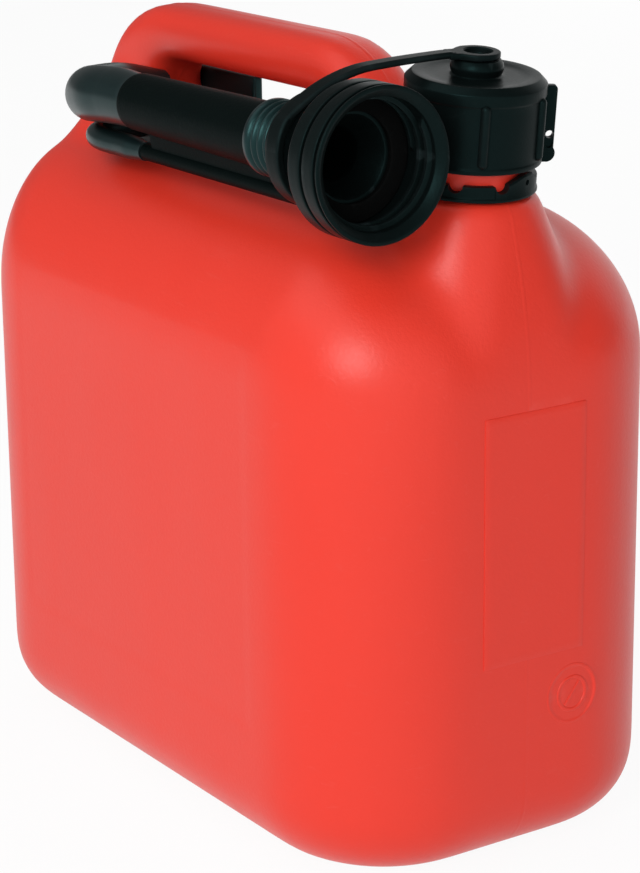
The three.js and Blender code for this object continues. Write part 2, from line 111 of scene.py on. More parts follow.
class Joinery(Enum):
    """How one form is worked into another."""

    ADD = "UNION"
    CUT = "DIFFERENCE"


@dataclass(frozen=True)
class Layout:
    """Sizes shared by several pieces, in millimetres, and the places that follow from them."""

    seat_gap: float = 0.3
    thread_gap: float = 0.7
    crest_gap: float = 0.6
    sweep_gap: float = 0.4
    body_length: float = 243.0
    body_width: float = 135.0
    tank_height: float = 201.0
    shoulder_drop: float = 47.0
    handle_width: float = 26.0
    handle_rear_setback: float = 8.5
    rear_post: float = 33.5
    neck_setback: float = 30.8
    neck_lean: float = 6.0
    neck_radius: float = 17.4
    neck_height: float = 28.1
    shelf_rise: float = 9.4
    thread_depth: float = 1.3
    thread_pitch: float = 4.0
    thread_width: float = 2.4
    neck_turns: float = 1.5
    thread_setback: float = 3.0
    cap_wall: float = 1.9
    cap_top: float = 2.3
    cap_chamfer: float = 2.0
    cap_dish: float = 0.6
    fin_reach: float = 3.3
    knob_height: float = 5.0
    gasket_thickness: float = 1.9
    strap_thickness: float = 1.9
    strap_seat: float = 14.6
    strap_seat_setback: float = 10.25
    strap_seat_length: float = 5.5
    strap_ring_wall: float = 2.4
    collar_wall: float = 3.6
    collar_thread_length: float = 17.0
    collar_flange: float = 2.0
    collar_root_length: float = 24.0
    spout_rise: float = 24.5
    mouth_ahead: float = 24.3
    bellows_length: float = 13.5
    tube_length: float = 79.0
    tube_front_radius: float = 10.2
    tube_rear_radius: float = 9.3
    tube_wall: float = 2.2
    vent_radius: float = 2.8
    vent_bore: float = 1.6
    vent_angle: float = 13.0
    vent_overhang: float = 4.0

    @property
    def neck_x(self) -> float:
        """Where the neck's axis stands."""
        return self.body_length / 2 - self.neck_setback

    @property
    def neck_axis(self) -> Vector:
        """A point on the neck's axis at the base."""
        return Vector((self.neck_x, 0.0, 0.0))

    def lean(self, share: float = 1.0, drop: float = 0.0) -> Matrix:
        """The neck's forward lean.

        Args:
            share: The share of the lean that is taken.
            drop: How far below the shelf the lean's pivot lies.

        Returns:
            The matrix of that lean, in millimetres.
        """
        pivot = Matrix.Translation((self.neck_x, 0.0, self.shelf_z - drop))
        return pivot @ Matrix.Rotation(math.radians(self.neck_lean) * share, 4, "Y") @ pivot.inverted()

    @property
    def shelf_z(self) -> float:
        """The height of the shelf under the neck."""
        return self.tank_height + self.shelf_rise

    @property
    def neck_top(self) -> float:
        """The height of the neck's lip."""
        return self.shelf_z + self.neck_height

    @property
    def thread_start(self) -> float:
        """The height at which the neck's thread begins."""
        return self.neck_top - self.thread_setback - self.neck_turns * self.thread_pitch

    @property
    def cap_bore(self) -> float:
        """The bore of the cap and of the spout's collar."""
        return self.neck_radius + self.thread_depth + self.thread_gap

    @property
    def cap_radius(self) -> float:
        """The outer radius of the cap's wall."""
        return self.cap_bore + self.cap_wall

    @property
    def cap_inner_top(self) -> float:
        """The height of the cap's inner face."""
        return self.neck_top + self.seat_gap + self.gasket_thickness

    @property
    def cap_rim(self) -> float:
        """The height at which the cap's wall turns in."""
        return self.cap_inner_top + self.cap_top

    @property
    def cap_crown_z(self) -> float:
        """The height at which the knob stands on the cap."""
        return self.cap_rim + self.cap_chamfer - self.cap_dish

    @property
    def eyelet_z(self) -> float:
        """The underside of the strap's eyelet."""
        return self.cap_crown_z + self.knob_height + self.seat_gap

    @property
    def handle_rear_x(self) -> float:
        """The rear of the handle."""
        return -self.body_length / 2 + self.handle_rear_setback

    @property
    def opening_rear_x(self) -> float:
        """The rear of the handle's opening."""
        return self.handle_rear_x + self.rear_post

    @property
    def collar_radius(self) -> float:
        """The outer radius of the spout's collar."""
        return self.cap_bore + self.collar_wall

    @property
    def spout_axis(self) -> Vector:
        """A point on the spout's axis."""
        reach = self.cap_radius + self.fin_reach + self.sweep_gap + self.collar_radius
        return Vector((0.0, -reach, self.tank_height + self.spout_rise))

    @property
    def mouth_x(self) -> float:
        """The open end of the collar."""
        return self.neck_x + self.mouth_ahead

    @property
    def flange_x(self) -> float:
        """The rear of the collar's cup."""
        return self.mouth_x - self.collar_thread_length - self.collar_flange

    @property
    def collar_rear_x(self) -> float:
        """The rear end of the collar's root."""
        return self.flange_x - self.collar_root_length

    @property
    def bellows_rear_x(self) -> float:
        """The rear end of the flexible neck."""
        return self.collar_rear_x - self.bellows_length

    @property
    def tube_rear_x(self) -> float:
        """The rear end of the pouring tube."""
        return self.bellows_rear_x - self.tube_length

    @property
    def strap_x(self) -> float:
        """The middle of the strap's seat on the collar."""
        return self.flange_x - self.strap_seat_setback - self.strap_seat_length / 2

    @property
    def strap_ring_bore(self) -> float:
        """The bore of the strap's ring."""
        return self.strap_seat + self.seat_gap

    @property
    def vent_axis(self) -> Vector:
        """A point on the air tube's axis."""
        offset = self.strap_seat + self.seat_gap + self.vent_radius
        turn = math.radians(self.vent_angle)
        return self.spout_axis + Vector((0.0, offset * math.sin(turn), -offset * math.cos(turn)))

    @property
    def vent_rear_x(self) -> float:
        """The rear end of the air tube."""
        return self.tube_rear_x - self.vent_overhang


LAYOUT = Layout()


class Wire:
    """A shader socket that takes part in sums, products and comparisons."""

    def __init__(self, graph: "Graph", socket: bpy.types.NodeSocket) -> None:
        """Holds the graph and the socket.

        Args:
            graph: The graph that the socket belongs to.
            socket: An output socket.
        """
        self.graph = graph
        self.socket = socket

    def _sum(self, operation: str, first: "Feed", second: "Feed") -> "Wire":
        """One Math node on two values.

        Args:
            operation: The Math node's operation.
            first: The first value.
            second: The second value.

        Returns:
            The result.
        """
        return self.graph.add("ShaderNodeMath", {"operation": operation}, {0: first, 1: second})

    def __add__(self, other: "Feed") -> "Wire":
        """The sum."""
        return self._sum("ADD", self, other)

    def __radd__(self, other: "Feed") -> "Wire":
        """The sum, from the right."""
        return self._sum("ADD", other, self)

    def __sub__(self, other: "Feed") -> "Wire":
        """The difference."""
        return self._sum("SUBTRACT", self, other)

    def __rsub__(self, other: "Feed") -> "Wire":
        """The difference, from the right."""
        return self._sum("SUBTRACT", other, self)

    def __mul__(self, other: "Feed") -> "Wire":
        """The product."""
        return self._sum("MULTIPLY", self, other)

    def __rmul__(self, other: "Feed") -> "Wire":
        """The product, from the right."""
        return self._sum("MULTIPLY", other, self)

    def maximum(self, other: "Feed") -> "Wire":
        """The larger of two values."""
        return self._sum("MAXIMUM", self, other)


Feed = Union[Wire, float, Colour, tuple[float, float, float]]


class Graph:
    """The node graph of one material."""

    def __init__(self, name: str) -> None:
        """Starts an empty material.

        Args:
            name: The material's name.
        """
        self.material = bpy.data.materials.new(name)
        self.material.use_nodes = True
        self.tree = self.material.node_tree
        self.tree.nodes.clear()

    def add(self, kind: str, settings: dict, feeds: dict, output: Union[int, str] = 0) -> Wire:
        """Adds a node.

        Args:
            kind: The node's type.
            settings: The node's own settings; stops sets a ramp's positions and grey levels.
            feeds: A value or a wire for each input that is set.
            output: The output to hand back.

        Returns:
            The wire of that output.
        """
        node = self.tree.nodes.new(kind)
        for key, value in settings.items():
            if key == "stops":
                for stop, (position, level) in zip(node.color_ramp.elements, value):
                    stop.position = position
                    stop.color = (level, level, level, 1.0)
            else:
                setattr(node, key, value)
        for key, value in feeds.items():
            if isinstance(value, Wire):
                self.tree.links.new(value.socket, node.inputs[key])
            else:
                node.inputs[key].default_value = value
        return Wire(self, node.outputs[output])

    def coordinates(self, stretch: tuple[float, float, float] = (1.0, 1.0, 1.0)) -> Wire:
        """The piece's own coordinates, stretched along its axes."""
        place = self.add("ShaderNodeTexCoord", {}, {}, "Object")
        return self.add("ShaderNodeMapping", {}, {"Vector": place, "Scale": stretch})

    def noise(self, place: Wire, scale: float, detail: float = 2.0, warp: float = 0.0) -> Wire:
        """A cloud of values about one half.

        Args:
            place: Where the noise is read.
            scale: Its scale per metre.
            detail: Its octaves.
            warp: How far it is drawn out of shape.

        Returns:
            The noise's value.
        """
        feeds = {"Vector": place, "Scale": scale, "Detail": detail, "Distortion": warp}
        return self.add("ShaderNodeTexNoise", {}, feeds)

    def ramp(self, value: Wire, low: float, high: float) -> Wire:
        """A value spread from nought at low to one at high."""
        return self.add("ShaderNodeValToRGB", {"stops": ((low, 0.0), (high, 1.0))}, {0: value})

    def mix(self, share: Wire, first: Feed, second: Feed) -> Wire:
        """Two colours mixed by a share."""
        settings = {"data_type": "RGBA"}
        return self.add("ShaderNodeMix", settings, {"Factor": share, 6: first, 7: second}, 2)

    def edges(self, low: float, high: float) -> Wire:
        """How far a point stands on an outer edge."""
        return self.ramp(self.add("ShaderNodeNewGeometry", {}, {}, "Pointiness"), low, high)

    def close(self, shader: Wire) -> bpy.types.Material:
        """Joins a shader to the output.

        Args:
            shader: The shader's wire.

        Returns:
            The finished material.
        """
        node = self.tree.nodes.new("ShaderNodeOutputMaterial")
        self.tree.links.new(shader.socket, node.inputs["Surface"])
        return self.material


@dataclass(frozen=True)
class MouldedPlastic:
    """A moulded plastic with cloudy colour, fine grain, faint scuffs and paler edges; the pale edges are
    wear, and on the red tank also a painted sheen.
    """

    name: str
    colour: Colour
    cloud: Colour
    worn_and_sheen: Colour
    roughness: float
    grain_scale: float
    grain_depth: float
    edge_wear_and_sheen: float
    scuffs: float = 0.5
    specular: float = 0.5
    sheen: Colour = (1.0, 1.0, 1.0, 1.0)
    edge_low: float = 0.515
    edge_high: float = 0.6
    cloud_scale: float = 16.0
    flow_scale: float = 42.0
    flow_stretch: tuple[float, float, float] = (1.0, 1.0, 0.16)
    flow_share: float = 0.3
    scuff_scale: float = 260.0
    scuff_stretch: tuple[float, float, float] = (0.25, 1.0, 1.6)
    scuff_range: Pair = (0.62, 0.74)
    patch_scale: float = 120.0
    patch_range: Pair = (0.3, 0.7)
    bump_strength: float = 0.45

    def material(self) -> bpy.types.Material:
        """Builds the node material.

        Returns:
            The finished material.
        """
        graph = Graph(self.name)
        place = graph.coordinates()
        cloud = graph.noise(place, self.cloud_scale, 3.0)
        grain = graph.noise(place, self.grain_scale, 3.0)
        flow = graph.noise(graph.coordinates(self.flow_stretch), self.flow_scale, 4.0, 0.4)
        scratches = graph.noise(graph.coordinates(self.scuff_stretch), self.scuff_scale, 5.0, 1.4)
        scuff = graph.ramp(scratches, *self.scuff_range)
        patches = graph.ramp(graph.noise(place, self.patch_scale, 4.0), *self.patch_range)
        # Edge mask: mixes outer edges towards the pale edge colour. This is edge wear, and on the red tank it
        # is also a painted sheen standing for the pale reflection along its rounded edges.
        edge = graph.edges(self.edge_low, self.edge_high) * patches
        tint = graph.mix(cloud * (1 - self.flow_share) + flow * self.flow_share, self.colour, self.cloud)
        tint = graph.mix(edge * self.edge_wear_and_sheen, tint, self.worn_and_sheen)
        tint = graph.mix(scuff * (0.12 * self.scuffs), tint, self.worn_and_sheen)
        rough = (flow - 0.5) * 0.12 + (grain - 0.5) * 0.1 + scuff * (0.1 * self.scuffs) + self.roughness
        height = grain + flow * 0.5 + scuff * (0.4 * self.scuffs)
        bump_feeds = {"Strength": self.bump_strength, "Distance": self.grain_depth * MM, "Height": height}
        normal = graph.add("ShaderNodeBump", {}, bump_feeds)
        feeds = {
            "Base Color": tint, "Roughness": rough, "Normal": normal, "Specular IOR Level": self.specular,
            "Specular Tint": self.sheen,
        }
        return graph.close(graph.add("ShaderNodeBsdfPrincipled", {}, feeds))


@dataclass(frozen=True)
class PaleFloor:
    """A pale studio floor that stays white to the camera and keeps a soft shadow."""

    name: str = "pale_floor"
    colour: Colour = (0.86, 0.86, 0.86, 1.0)
    white: Colour = (1.0, 1.0, 1.0, 1.0)
    lift: float = 0.94

    def material(self) -> bpy.types.Material:
        """Builds the node material.

        Returns:
            The finished material.
        """
        graph = Graph(self.name)
        speckle = graph.noise(graph.coordinates(), 30.0, 3.0)
        tint = graph.mix(speckle * 0.5, self.colour, self.white)
        matt = graph.add("ShaderNodeBsdfPrincipled", {}, {"Base Color": tint, "Roughness": 0.8})
        glow = graph.add("ShaderNodeEmission", {}, {"Color": self.white, "Strength": 1.0})
        seen = graph.add("ShaderNodeLightPath", {}, {}, "Is Camera Ray")
        for ray in ("Is Glossy Ray", "Is Transmission Ray"):
            seen = seen.maximum(graph.add("ShaderNodeLightPath", {}, {}, ray))
        share = seen * self.lift
        return graph.close(graph.add("ShaderNodeMixShader", {}, {0: share, 1: matt, 2: glow}))


TEAL_SHEEN = (0.4, 1.0, 1.0, 1.0)
# The red tank's pale pink edge colour and edge weight paint a sheen along its rounded edges, besides the
# scuff wear.
RED_TANK = MouldedPlastic(
    name="red_tank_plastic", colour=(0.74, 0.033, 0.016, 1.0), cloud=(0.79, 0.042, 0.023, 1.0),
    worn_and_sheen=(0.86, 0.2, 0.17, 1.0), roughness=0.38, grain_scale=900.0, grain_depth=0.12, edge_wear_and_sheen=0.1,
    cloud_scale=11.0, edge_low=0.545, edge_high=0.62, specular=0.36,
)
BLACK_SATIN = MouldedPlastic(
    name="black_satin_plastic", colour=(0.0022, 0.0037, 0.0037, 1.0), cloud=(0.0034, 0.0056, 0.0056, 1.0),
    worn_and_sheen=(0.03, 0.043, 0.045, 1.0), roughness=0.38, grain_scale=1500.0, grain_depth=0.08, edge_wear_and_sheen=0.4,
    specular=0.08, sheen=TEAL_SHEEN, edge_low=0.53,
)
BLACK_GRAINED = MouldedPlastic(
    name="black_grained_plastic", colour=(0.0018, 0.0036, 0.0034, 1.0), cloud=(0.003, 0.0055, 0.0053, 1.0),
    worn_and_sheen=(0.026, 0.038, 0.04, 1.0), roughness=0.46, grain_scale=1100.0, grain_depth=0.2, edge_wear_and_sheen=0.2,
    specular=0.02, sheen=TEAL_SHEEN, edge_low=0.55,
)
BLACK_GLOSS = MouldedPlastic(
    name="black_gloss_plastic", colour=(0.0035, 0.008, 0.0085, 1.0), cloud=(0.0055, 0.0115, 0.012, 1.0),
    worn_and_sheen=(0.05, 0.066, 0.07, 1.0), roughness=0.32, grain_scale=1600.0, grain_depth=0.05, edge_wear_and_sheen=0.4,
    specular=0.3, sheen=TEAL_SHEEN,
)
BLACK_STRAP = MouldedPlastic(
    name="black_strap_plastic", colour=(0.0025, 0.004, 0.004, 1.0), cloud=(0.0038, 0.006, 0.006, 1.0),
    worn_and_sheen=(0.03, 0.042, 0.044, 1.0), roughness=0.42, grain_scale=1700.0, grain_depth=0.06, edge_wear_and_sheen=0.5,
    specular=0.06, sheen=TEAL_SHEEN,
)
SEAL_RUBBER = MouldedPlastic(
    name="seal_rubber", colour=(0.003, 0.0032, 0.0032, 1.0), cloud=(0.005, 0.0053, 0.0053, 1.0),
    worn_and_sheen=(0.02, 0.02, 0.02, 1.0), roughness=0.8, grain_scale=2200.0, grain_depth=0.15, edge_wear_and_sheen=0.3,
    specular=0.01,
)


def ease(share: float) -> float:
    """A share from nought to one that starts and ends gently."""
    return share * share * (3 - 2 * share)


def only(items: Sequence, kind: type) -> list:
    """The items of one kind."""
    return [item for item in items if isinstance(item, kind)]


def ends(edges: Sequence[bmesh.types.BMEdge]) -> list[bmesh.types.BMVert]:
    """The vertices of edges, each once and in order."""
    return list(dict.fromkeys(vert for edge in edges for vert in edge.verts))


def hollow(bore: float, outer: float, low: float, high: float) -> list[Pair]:
    """The profile of a plain ring or tube."""
    return [(bore, low), (outer, low), (outer, high), (bore, high)]


def curve_points(route: Points, steps: int) -> list[Vector]:
    """Points along a smooth curve through a route.

    Args:
        route: The points that the curve passes through.
        steps: The number of steps between each two of them.

    Returns:
        The points of the curve, both ends included.
    """
    padded = [2 * route[0] - route[1], *route, 2 * route[-1] - route[-2]]
    points = []
    for before, first, second, after in zip(padded, padded[1:], padded[2:], padded[3:]):
        for step in range(steps):
            t = step / steps
            points.append(0.5 * (
                2 * first + (second - before) * t
                + (2 * before - 5 * first + 4 * second - after) * t ** 2
                + (3 * first - before - 3 * second + after) * t ** 3
            ))
    return [*points, route[-1].copy()]


def rounded_ring(middle: float, half_x: float, half_y: float, radius: float, z: float,
                 steps: int) -> list[Vector]:
    """A level rectangle with round corners.

    Args:
        middle: The X of its middle.
        half_x: Half its length.
        half_y: Half its width.
        radius: Its corner radius.
        z: Its height.
        steps: The steps of each corner.

    Returns:
        The points of the ring.
    """
    ring = []
    for quarter, (sign_x, sign_y) in enumerate(((1, 1), (-1, 1), (-1, -1), (1, -1))):
        for step in range(steps + 1):
            corner = Axis.UPRIGHT.place(radius, z, (quarter + step / steps) * TURN / 4)
            centre = Vector((middle + sign_x * (half_x - radius), sign_y * (half_y - radius), 0.0))
            ring.append(corner + centre)
    return ring


def spaced(pairs: Sequence[Pair], step: float) -> list[Pair]:
    """A closed profile with points added along its long sides.

    Args:
        pairs: The corners of the profile.
        step: The longest side that is left whole.

    Returns:
        The corners and the added points; sides on the axis stay whole.
    """
    points = []
    for (r0, a0), (r1, a1) in zip(pairs, [*pairs[1:], pairs[0]]):
        count = 1 if r0 == r1 == 0.0 else max(1, math.ceil(math.hypot(r1 - r0, a1 - a0) / step))
        points += [(r0 + (r1 - r0) * k / count, a0 + (a1 - a0) * k / count) for k in range(count)]
    return points


class Form:
    """A mesh in the making, in millimetres."""

    def __init__(self) -> None:
        """Starts with nothing."""
        self.bm = bmesh.new()

    def ring(self, points: Points) -> list[bmesh.types.BMEdge]:
        """A closed loop of edges through points."""
        verts = [self.bm.verts.new(point) for point in points]
        return [self.bm.edges.new(pair) for pair in zip(verts, verts[1:] + verts[:1])]

    def loft(self, rings: Sequence[Points]) -> "Form":
        """Bridges rings one to the next and closes both ends.

        Args:
            rings: Rings of equal point counts, in order.

        Returns:
            The form itself.
        """
        loops = [self.ring(points) for points in rings]
        for low, high in zip(loops, loops[1:]):
            bmesh.ops.bridge_loops(self.bm, edges=low + high)
        for end in (loops[0], loops[-1]):
            bmesh.ops.edgeloop_fill(self.bm, edges=end)
        return self

    def turned(self, pairs: Sequence[Pair], axis: Axis, centre: Vector, steps: int = 96,
               start: float = 0.0, sweep: float = TURN) -> "Form":
        """Spins a profile about an axis.

        Args:
            pairs: Radius and distance along the axis of each corner; the profile closes on itself.
            axis: The axis to spin about.
            centre: A point on the axis.
            steps: The number of steps.
            start: The angle that the profile starts at.
            sweep: The angle that it spins through.

        Returns:
            The form itself.
        """
        profile = spaced(pairs, GRID)
        edges = self.ring([centre + axis.place(radius, along, start) for radius, along in profile])
        whole = sweep >= TURN
        spun = bmesh.ops.spin(
            self.bm, geom=ends(edges) + edges, cent=centre, axis=axis.vector, angle=sweep, steps=steps,
            use_merge=whole,
        )
        if not whole:
            for end in (edges, only(spun["geom_last"], bmesh.types.BMEdge)):
                bmesh.ops.edgeloop_fill(self.bm, edges=end)
        bmesh.ops.remove_doubles(self.bm, verts=self.bm.verts, dist=WELD)
        bmesh.ops.dissolve_degenerate(self.bm, edges=self.bm.edges, dist=WELD)
        return self

    def ridge(self, root: float, crest: float, begin: float, turns: float, axis: Axis,
              centre: Vector) -> "Form":
        """A helical thread ridge that fades into its wall at both ends.

        Args:
            root: The radius of its root.
            crest: The radius of its crest.
            begin: Where it begins along the axis.
            turns: Its number of turns.
            axis: The axis that it winds about.
            centre: A point on the axis.

        Returns:
            The form itself.
        """
        half, slope = LAYOUT.thread_width / 2, LAYOUT.thread_width / 4
        section = ((root, -half), (crest, slope - half), (crest, half - slope), (root, half))
        edges = self.ring([centre + axis.place(radius, begin + along) for radius, along in section])
        first = ends(edges)
        steps = round(turns * THREAD_STEPS)
        lead = axis.vector * (LAYOUT.thread_pitch * turns / steps)
        spun = bmesh.ops.spin(
            self.bm, geom=first + edges, cent=centre, axis=axis.vector, dvec=lead, angle=turns * TURN,
            steps=steps,
        )
        last = only(spun["geom_last"], bmesh.types.BMVert)
        for end in (edges, only(spun["geom_last"], bmesh.types.BMEdge)):
            bmesh.ops.edgeloop_fill(self.bm, edges=end)
        for vert in first + last:
            along = (vert.co - centre).dot(axis.vector)
            spoke = vert.co - centre - axis.vector * along
            vert.co = centre + axis.vector * along + spoke.normalized() * (root + 0.1 * (crest - root))
        return self

    def block(self, low: Vector, high: Vector, step: float = GRID) -> "Form":
        """A box between two corners, with an even grid on its faces.

        Args:
            low: Its lower corner.
            high: Its upper corner.
            step: The size of the grid.

        Returns:
            The form itself.
        """
        made = bmesh.ops.create_cube(self.bm, size=1.0)
        size = high - low
        bmesh.ops.scale(self.bm, vec=size, verts=made["verts"])
        bmesh.ops.translate(self.bm, vec=(low + high) / 2, verts=made["verts"])
        for axis in range(3):
            along = [edge for edge in self.bm.edges
                     if abs(edge.verts[0].co[axis] - edge.verts[1].co[axis]) > TINY]
            cuts = int(size[axis] / step)
            if cuts:
                bmesh.ops.subdivide_edges(self.bm, edges=along, cuts=cuts, use_grid_fill=True)
        return self

    def capsule(self, radius: float, low: Vector, length: float) -> "Form":
        """An upright bar with round ends.

        Args:
            radius: Its radius.
            low: The middle of its lower end's sphere.
            length: The distance between the two end spheres.

        Returns:
            The form itself.
        """
        made = bmesh.ops.create_uvsphere(self.bm, u_segments=20, v_segments=13, radius=radius)
        upper = [vert for vert in made["verts"] if vert.co.z > 0]
        bmesh.ops.translate(self.bm, vec=(0.0, 0.0, length), verts=upper)
        bmesh.ops.translate(self.bm, vec=low, verts=made["verts"])
        return self

    def rod(self, radius: float, low: Vector, high: Vector, steps: int = 32) -> "Form":
        """A round bar between two points, with flat ends."""
        made = bmesh.ops.create_cone(
            self.bm, cap_ends=True, segments=steps, radius1=radius, radius2=radius, depth=(high - low).length,
        )
        turn = (high - low).to_track_quat("Z", "Y").to_matrix().to_4x4()
        place = Matrix.Translation((low + high) / 2) @ turn
        bmesh.ops.transform(self.bm, matrix=place, verts=made["verts"])
        return self

    def bar(self, radius: Callable[[float], float], points: Points, steps: int = 40) -> "Form":
        """A round bar along a curve.

        Args:
            radius: The bar's radius at each share of its length.
            points: The points of the curve.
            steps: The number of sides.

        Returns:
            The form itself.
        """
        rings = []
        for index, point in enumerate(points):
            along = points[min(index + 1, len(points) - 1)] - points[max(index - 1, 0)]
            turn = along.to_track_quat("Z", "Y")
            size = radius(index / (len(points) - 1))
            spokes = [Axis.UPRIGHT.place(size, 0.0, TURN * k / steps) for k in range(steps)]
            rings.append([point + turn @ spoke for spoke in spokes])
        return self.loft(rings)

    def soften(self, offset: float, segments: int = 3, angle: float = 32.0) -> "Form":
        """Rounds every edge sharper than an angle.

        Args:
            offset: The width of the rounding.
            segments: Its number of steps.
            angle: The smallest angle that is rounded, in degrees.

        Returns:
            The form itself.
        """
        bmesh.ops.recalc_face_normals(self.bm, faces=self.bm.faces)
        limit = math.radians(angle)
        sharp = [edge for edge in self.bm.edges
                 if len(edge.link_faces) == 2 and edge.calc_face_angle(0.0) > limit]
        bmesh.ops.bevel(
            self.bm, geom=sharp, offset=offset, affect="EDGES", segments=segments, profile=0.5, material=-1,
            clamp_overlap=True,
        )
        return self

    def inset(self, width: float) -> "Form":
        """Draws a loop inside every face of many corners, so that its edges keep to themselves."""
        broad = [face for face in self.bm.faces if len(face.verts) > 8]
        bmesh.ops.inset_individual(self.bm, faces=broad, thickness=width, use_even_offset=True)
        return self

    def thicken(self, width: float) -> "Form":
        """Gives faces in the middle plane a width, half to each side."""
        grown = bmesh.ops.extrude_face_region(self.bm, geom=list(self.bm.faces))
        moved = only(grown["geom"], bmesh.types.BMVert)
        bmesh.ops.translate(self.bm, vec=(0.0, width, 0.0), verts=moved)
        bmesh.ops.translate(self.bm, vec=(0.0, -width / 2, 0.0), verts=self.bm.verts)
        return self

    def roll(self, degrees: float, place: Vector) -> "Form":
        """Rolls the whole form about the lengthwise axis and then moves it."""
        spin = Matrix.Rotation(math.radians(degrees), 3, "X")
        bmesh.ops.rotate(self.bm, cent=(0.0, 0.0, 0.0), matrix=spin, verts=self.bm.verts)
        bmesh.ops.translate(self.bm, vec=place, verts=self.bm.verts)
        return self

    def turn_about(self, degrees: float, centre: Vector) -> "Form":
        """Turns the whole form about an upright axis."""
        spin = Matrix.Rotation(math.radians(degrees), 3, "Z")
        bmesh.ops.rotate(self.bm, cent=centre, matrix=spin, verts=self.bm.verts)
        return self

    def piece(self, name: str) -> bpy.types.Object:
        """Closes the form and makes it an object, in metres.

        Args:
            name: The object's name.

        Returns:
            The object, at the origin.
        """
        bmesh.ops.remove_doubles(self.bm, verts=self.bm.verts, dist=WELD)
        bmesh.ops.recalc_face_normals(self.bm, faces=self.bm.faces)
        bmesh.ops.scale(self.bm, vec=(MM, MM, MM), verts=self.bm.verts)
        mesh = bpy.data.meshes.new(name)
        self.bm.to_mesh(mesh)
        self.bm.free()
        made = bpy.data.objects.new(name, mesh)
        bpy.context.scene.collection.objects.link(made)
        return made


def leaned(piece: bpy.types.Object) -> bpy.types.Object:
    """Leans an upright piece forward with the neck.

    Args:
        piece: The piece.

    Returns:
        The same piece.
    """
    scale = Matrix.Scale(MM, 4)
    piece.data.transform(scale @ LAYOUT.lean() @ scale.inverted())
    return piece


def settle(piece: bpy.types.Object) -> bpy.types.Object:
    """Applies a piece's modifiers to its mesh.

    Args:
        piece: The piece.

    Returns:
        The same piece, with no modifier left.
    """
    graph = bpy.context.evaluated_depsgraph_get()
    mesh = bpy.data.meshes.new_from_object(piece.evaluated_get(graph), depsgraph=graph)
    old = piece.data
    piece.modifiers.clear()
    piece.data = mesh
    mesh.name = piece.name
    bpy.data.meshes.remove(old)
    return piece


def join(piece: bpy.types.Object, way: Joinery, *tools: bpy.types.Object) -> bpy.types.Object:
    """Works other forms into a piece and removes them.

    Args:
        piece: The piece.
        way: Whether they are added or cut out.
        tools: The other forms.

    Returns:
        The piece.
    """
    for tool in tools:
        step = piece.modifiers.new("join", "BOOLEAN")
        step.operation = way.value
        step.solver = "MANIFOLD"
        step.object = tool
    settle(piece)
    for tool in tools:
        mesh = tool.data
        bpy.data.objects.remove(tool)
        bpy.data.meshes.remove(mesh)
    return piece


def skin(piece: bpy.types.Object, voxel: float, smoothing: int, closing: float = 0.0) -> bpy.types.Object:
    """Gives overlapping forms one even skin, with fillets in their hollows.

    Args:
        piece: The piece with its overlapping forms.
        voxel: The size of the skin's cells, in millimetres.
        smoothing: The rounds of smoothing.
        closing: The radius of the fillets, in millimetres.

    Returns:
        The piece with its new skin.
    """
    def remesh() -> None:
        """Adds one remesh and a light smoothing."""
        cells = piece.modifiers.new("skin", "REMESH")
        cells.mode = "VOXEL"
        cells.voxel_size = voxel * MM
        cells.use_smooth_shade = True
        even = piece.modifiers.new("even", "SMOOTH")
        even.factor = 0.5
        even.iterations = smoothing

    remesh()
    for shift in (closing, -closing) if closing else ():
        offset = piece.modifiers.new("offset", "DISPLACE")
        offset.direction = "NORMAL"
        offset.mid_level = 0.0
        offset.strength = shift * MM
        remesh()
    return settle(piece)


def dress(piece: bpy.types.Object, finish: bpy.types.Material, slot: Slot, *nodes: str,
          sharp: float = 38.0) -> bpy.types.Object:
    """Gives a piece its finish and its shading, and hides the CAD nodes that it stands for.

    Args:
        piece: The piece.
        finish: Its material.
        slot: Its material slot in the record; not used.
        nodes: The CAD nodes that it replaces.
        sharp: The angle in degrees above which an edge is shaded sharp.

    Returns:
        The piece.
    """
    shaped = bmesh.new()
    shaped.from_mesh(piece.data)
    for face in shaped.faces:
        face.smooth = True
        face.material_index = 0
    for edge in shaped.edges:
        edge.smooth = edge.calc_face_angle(0.0) < math.radians(sharp)
    shaped.to_mesh(piece.data)
    shaped.free()
    piece.data.materials.clear()
    piece.data.materials.append(finish)
    if nodes:
        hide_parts(*nodes)
    log.info("%s: %d faces", piece.name, len(piece.data.polygons))
    return piece


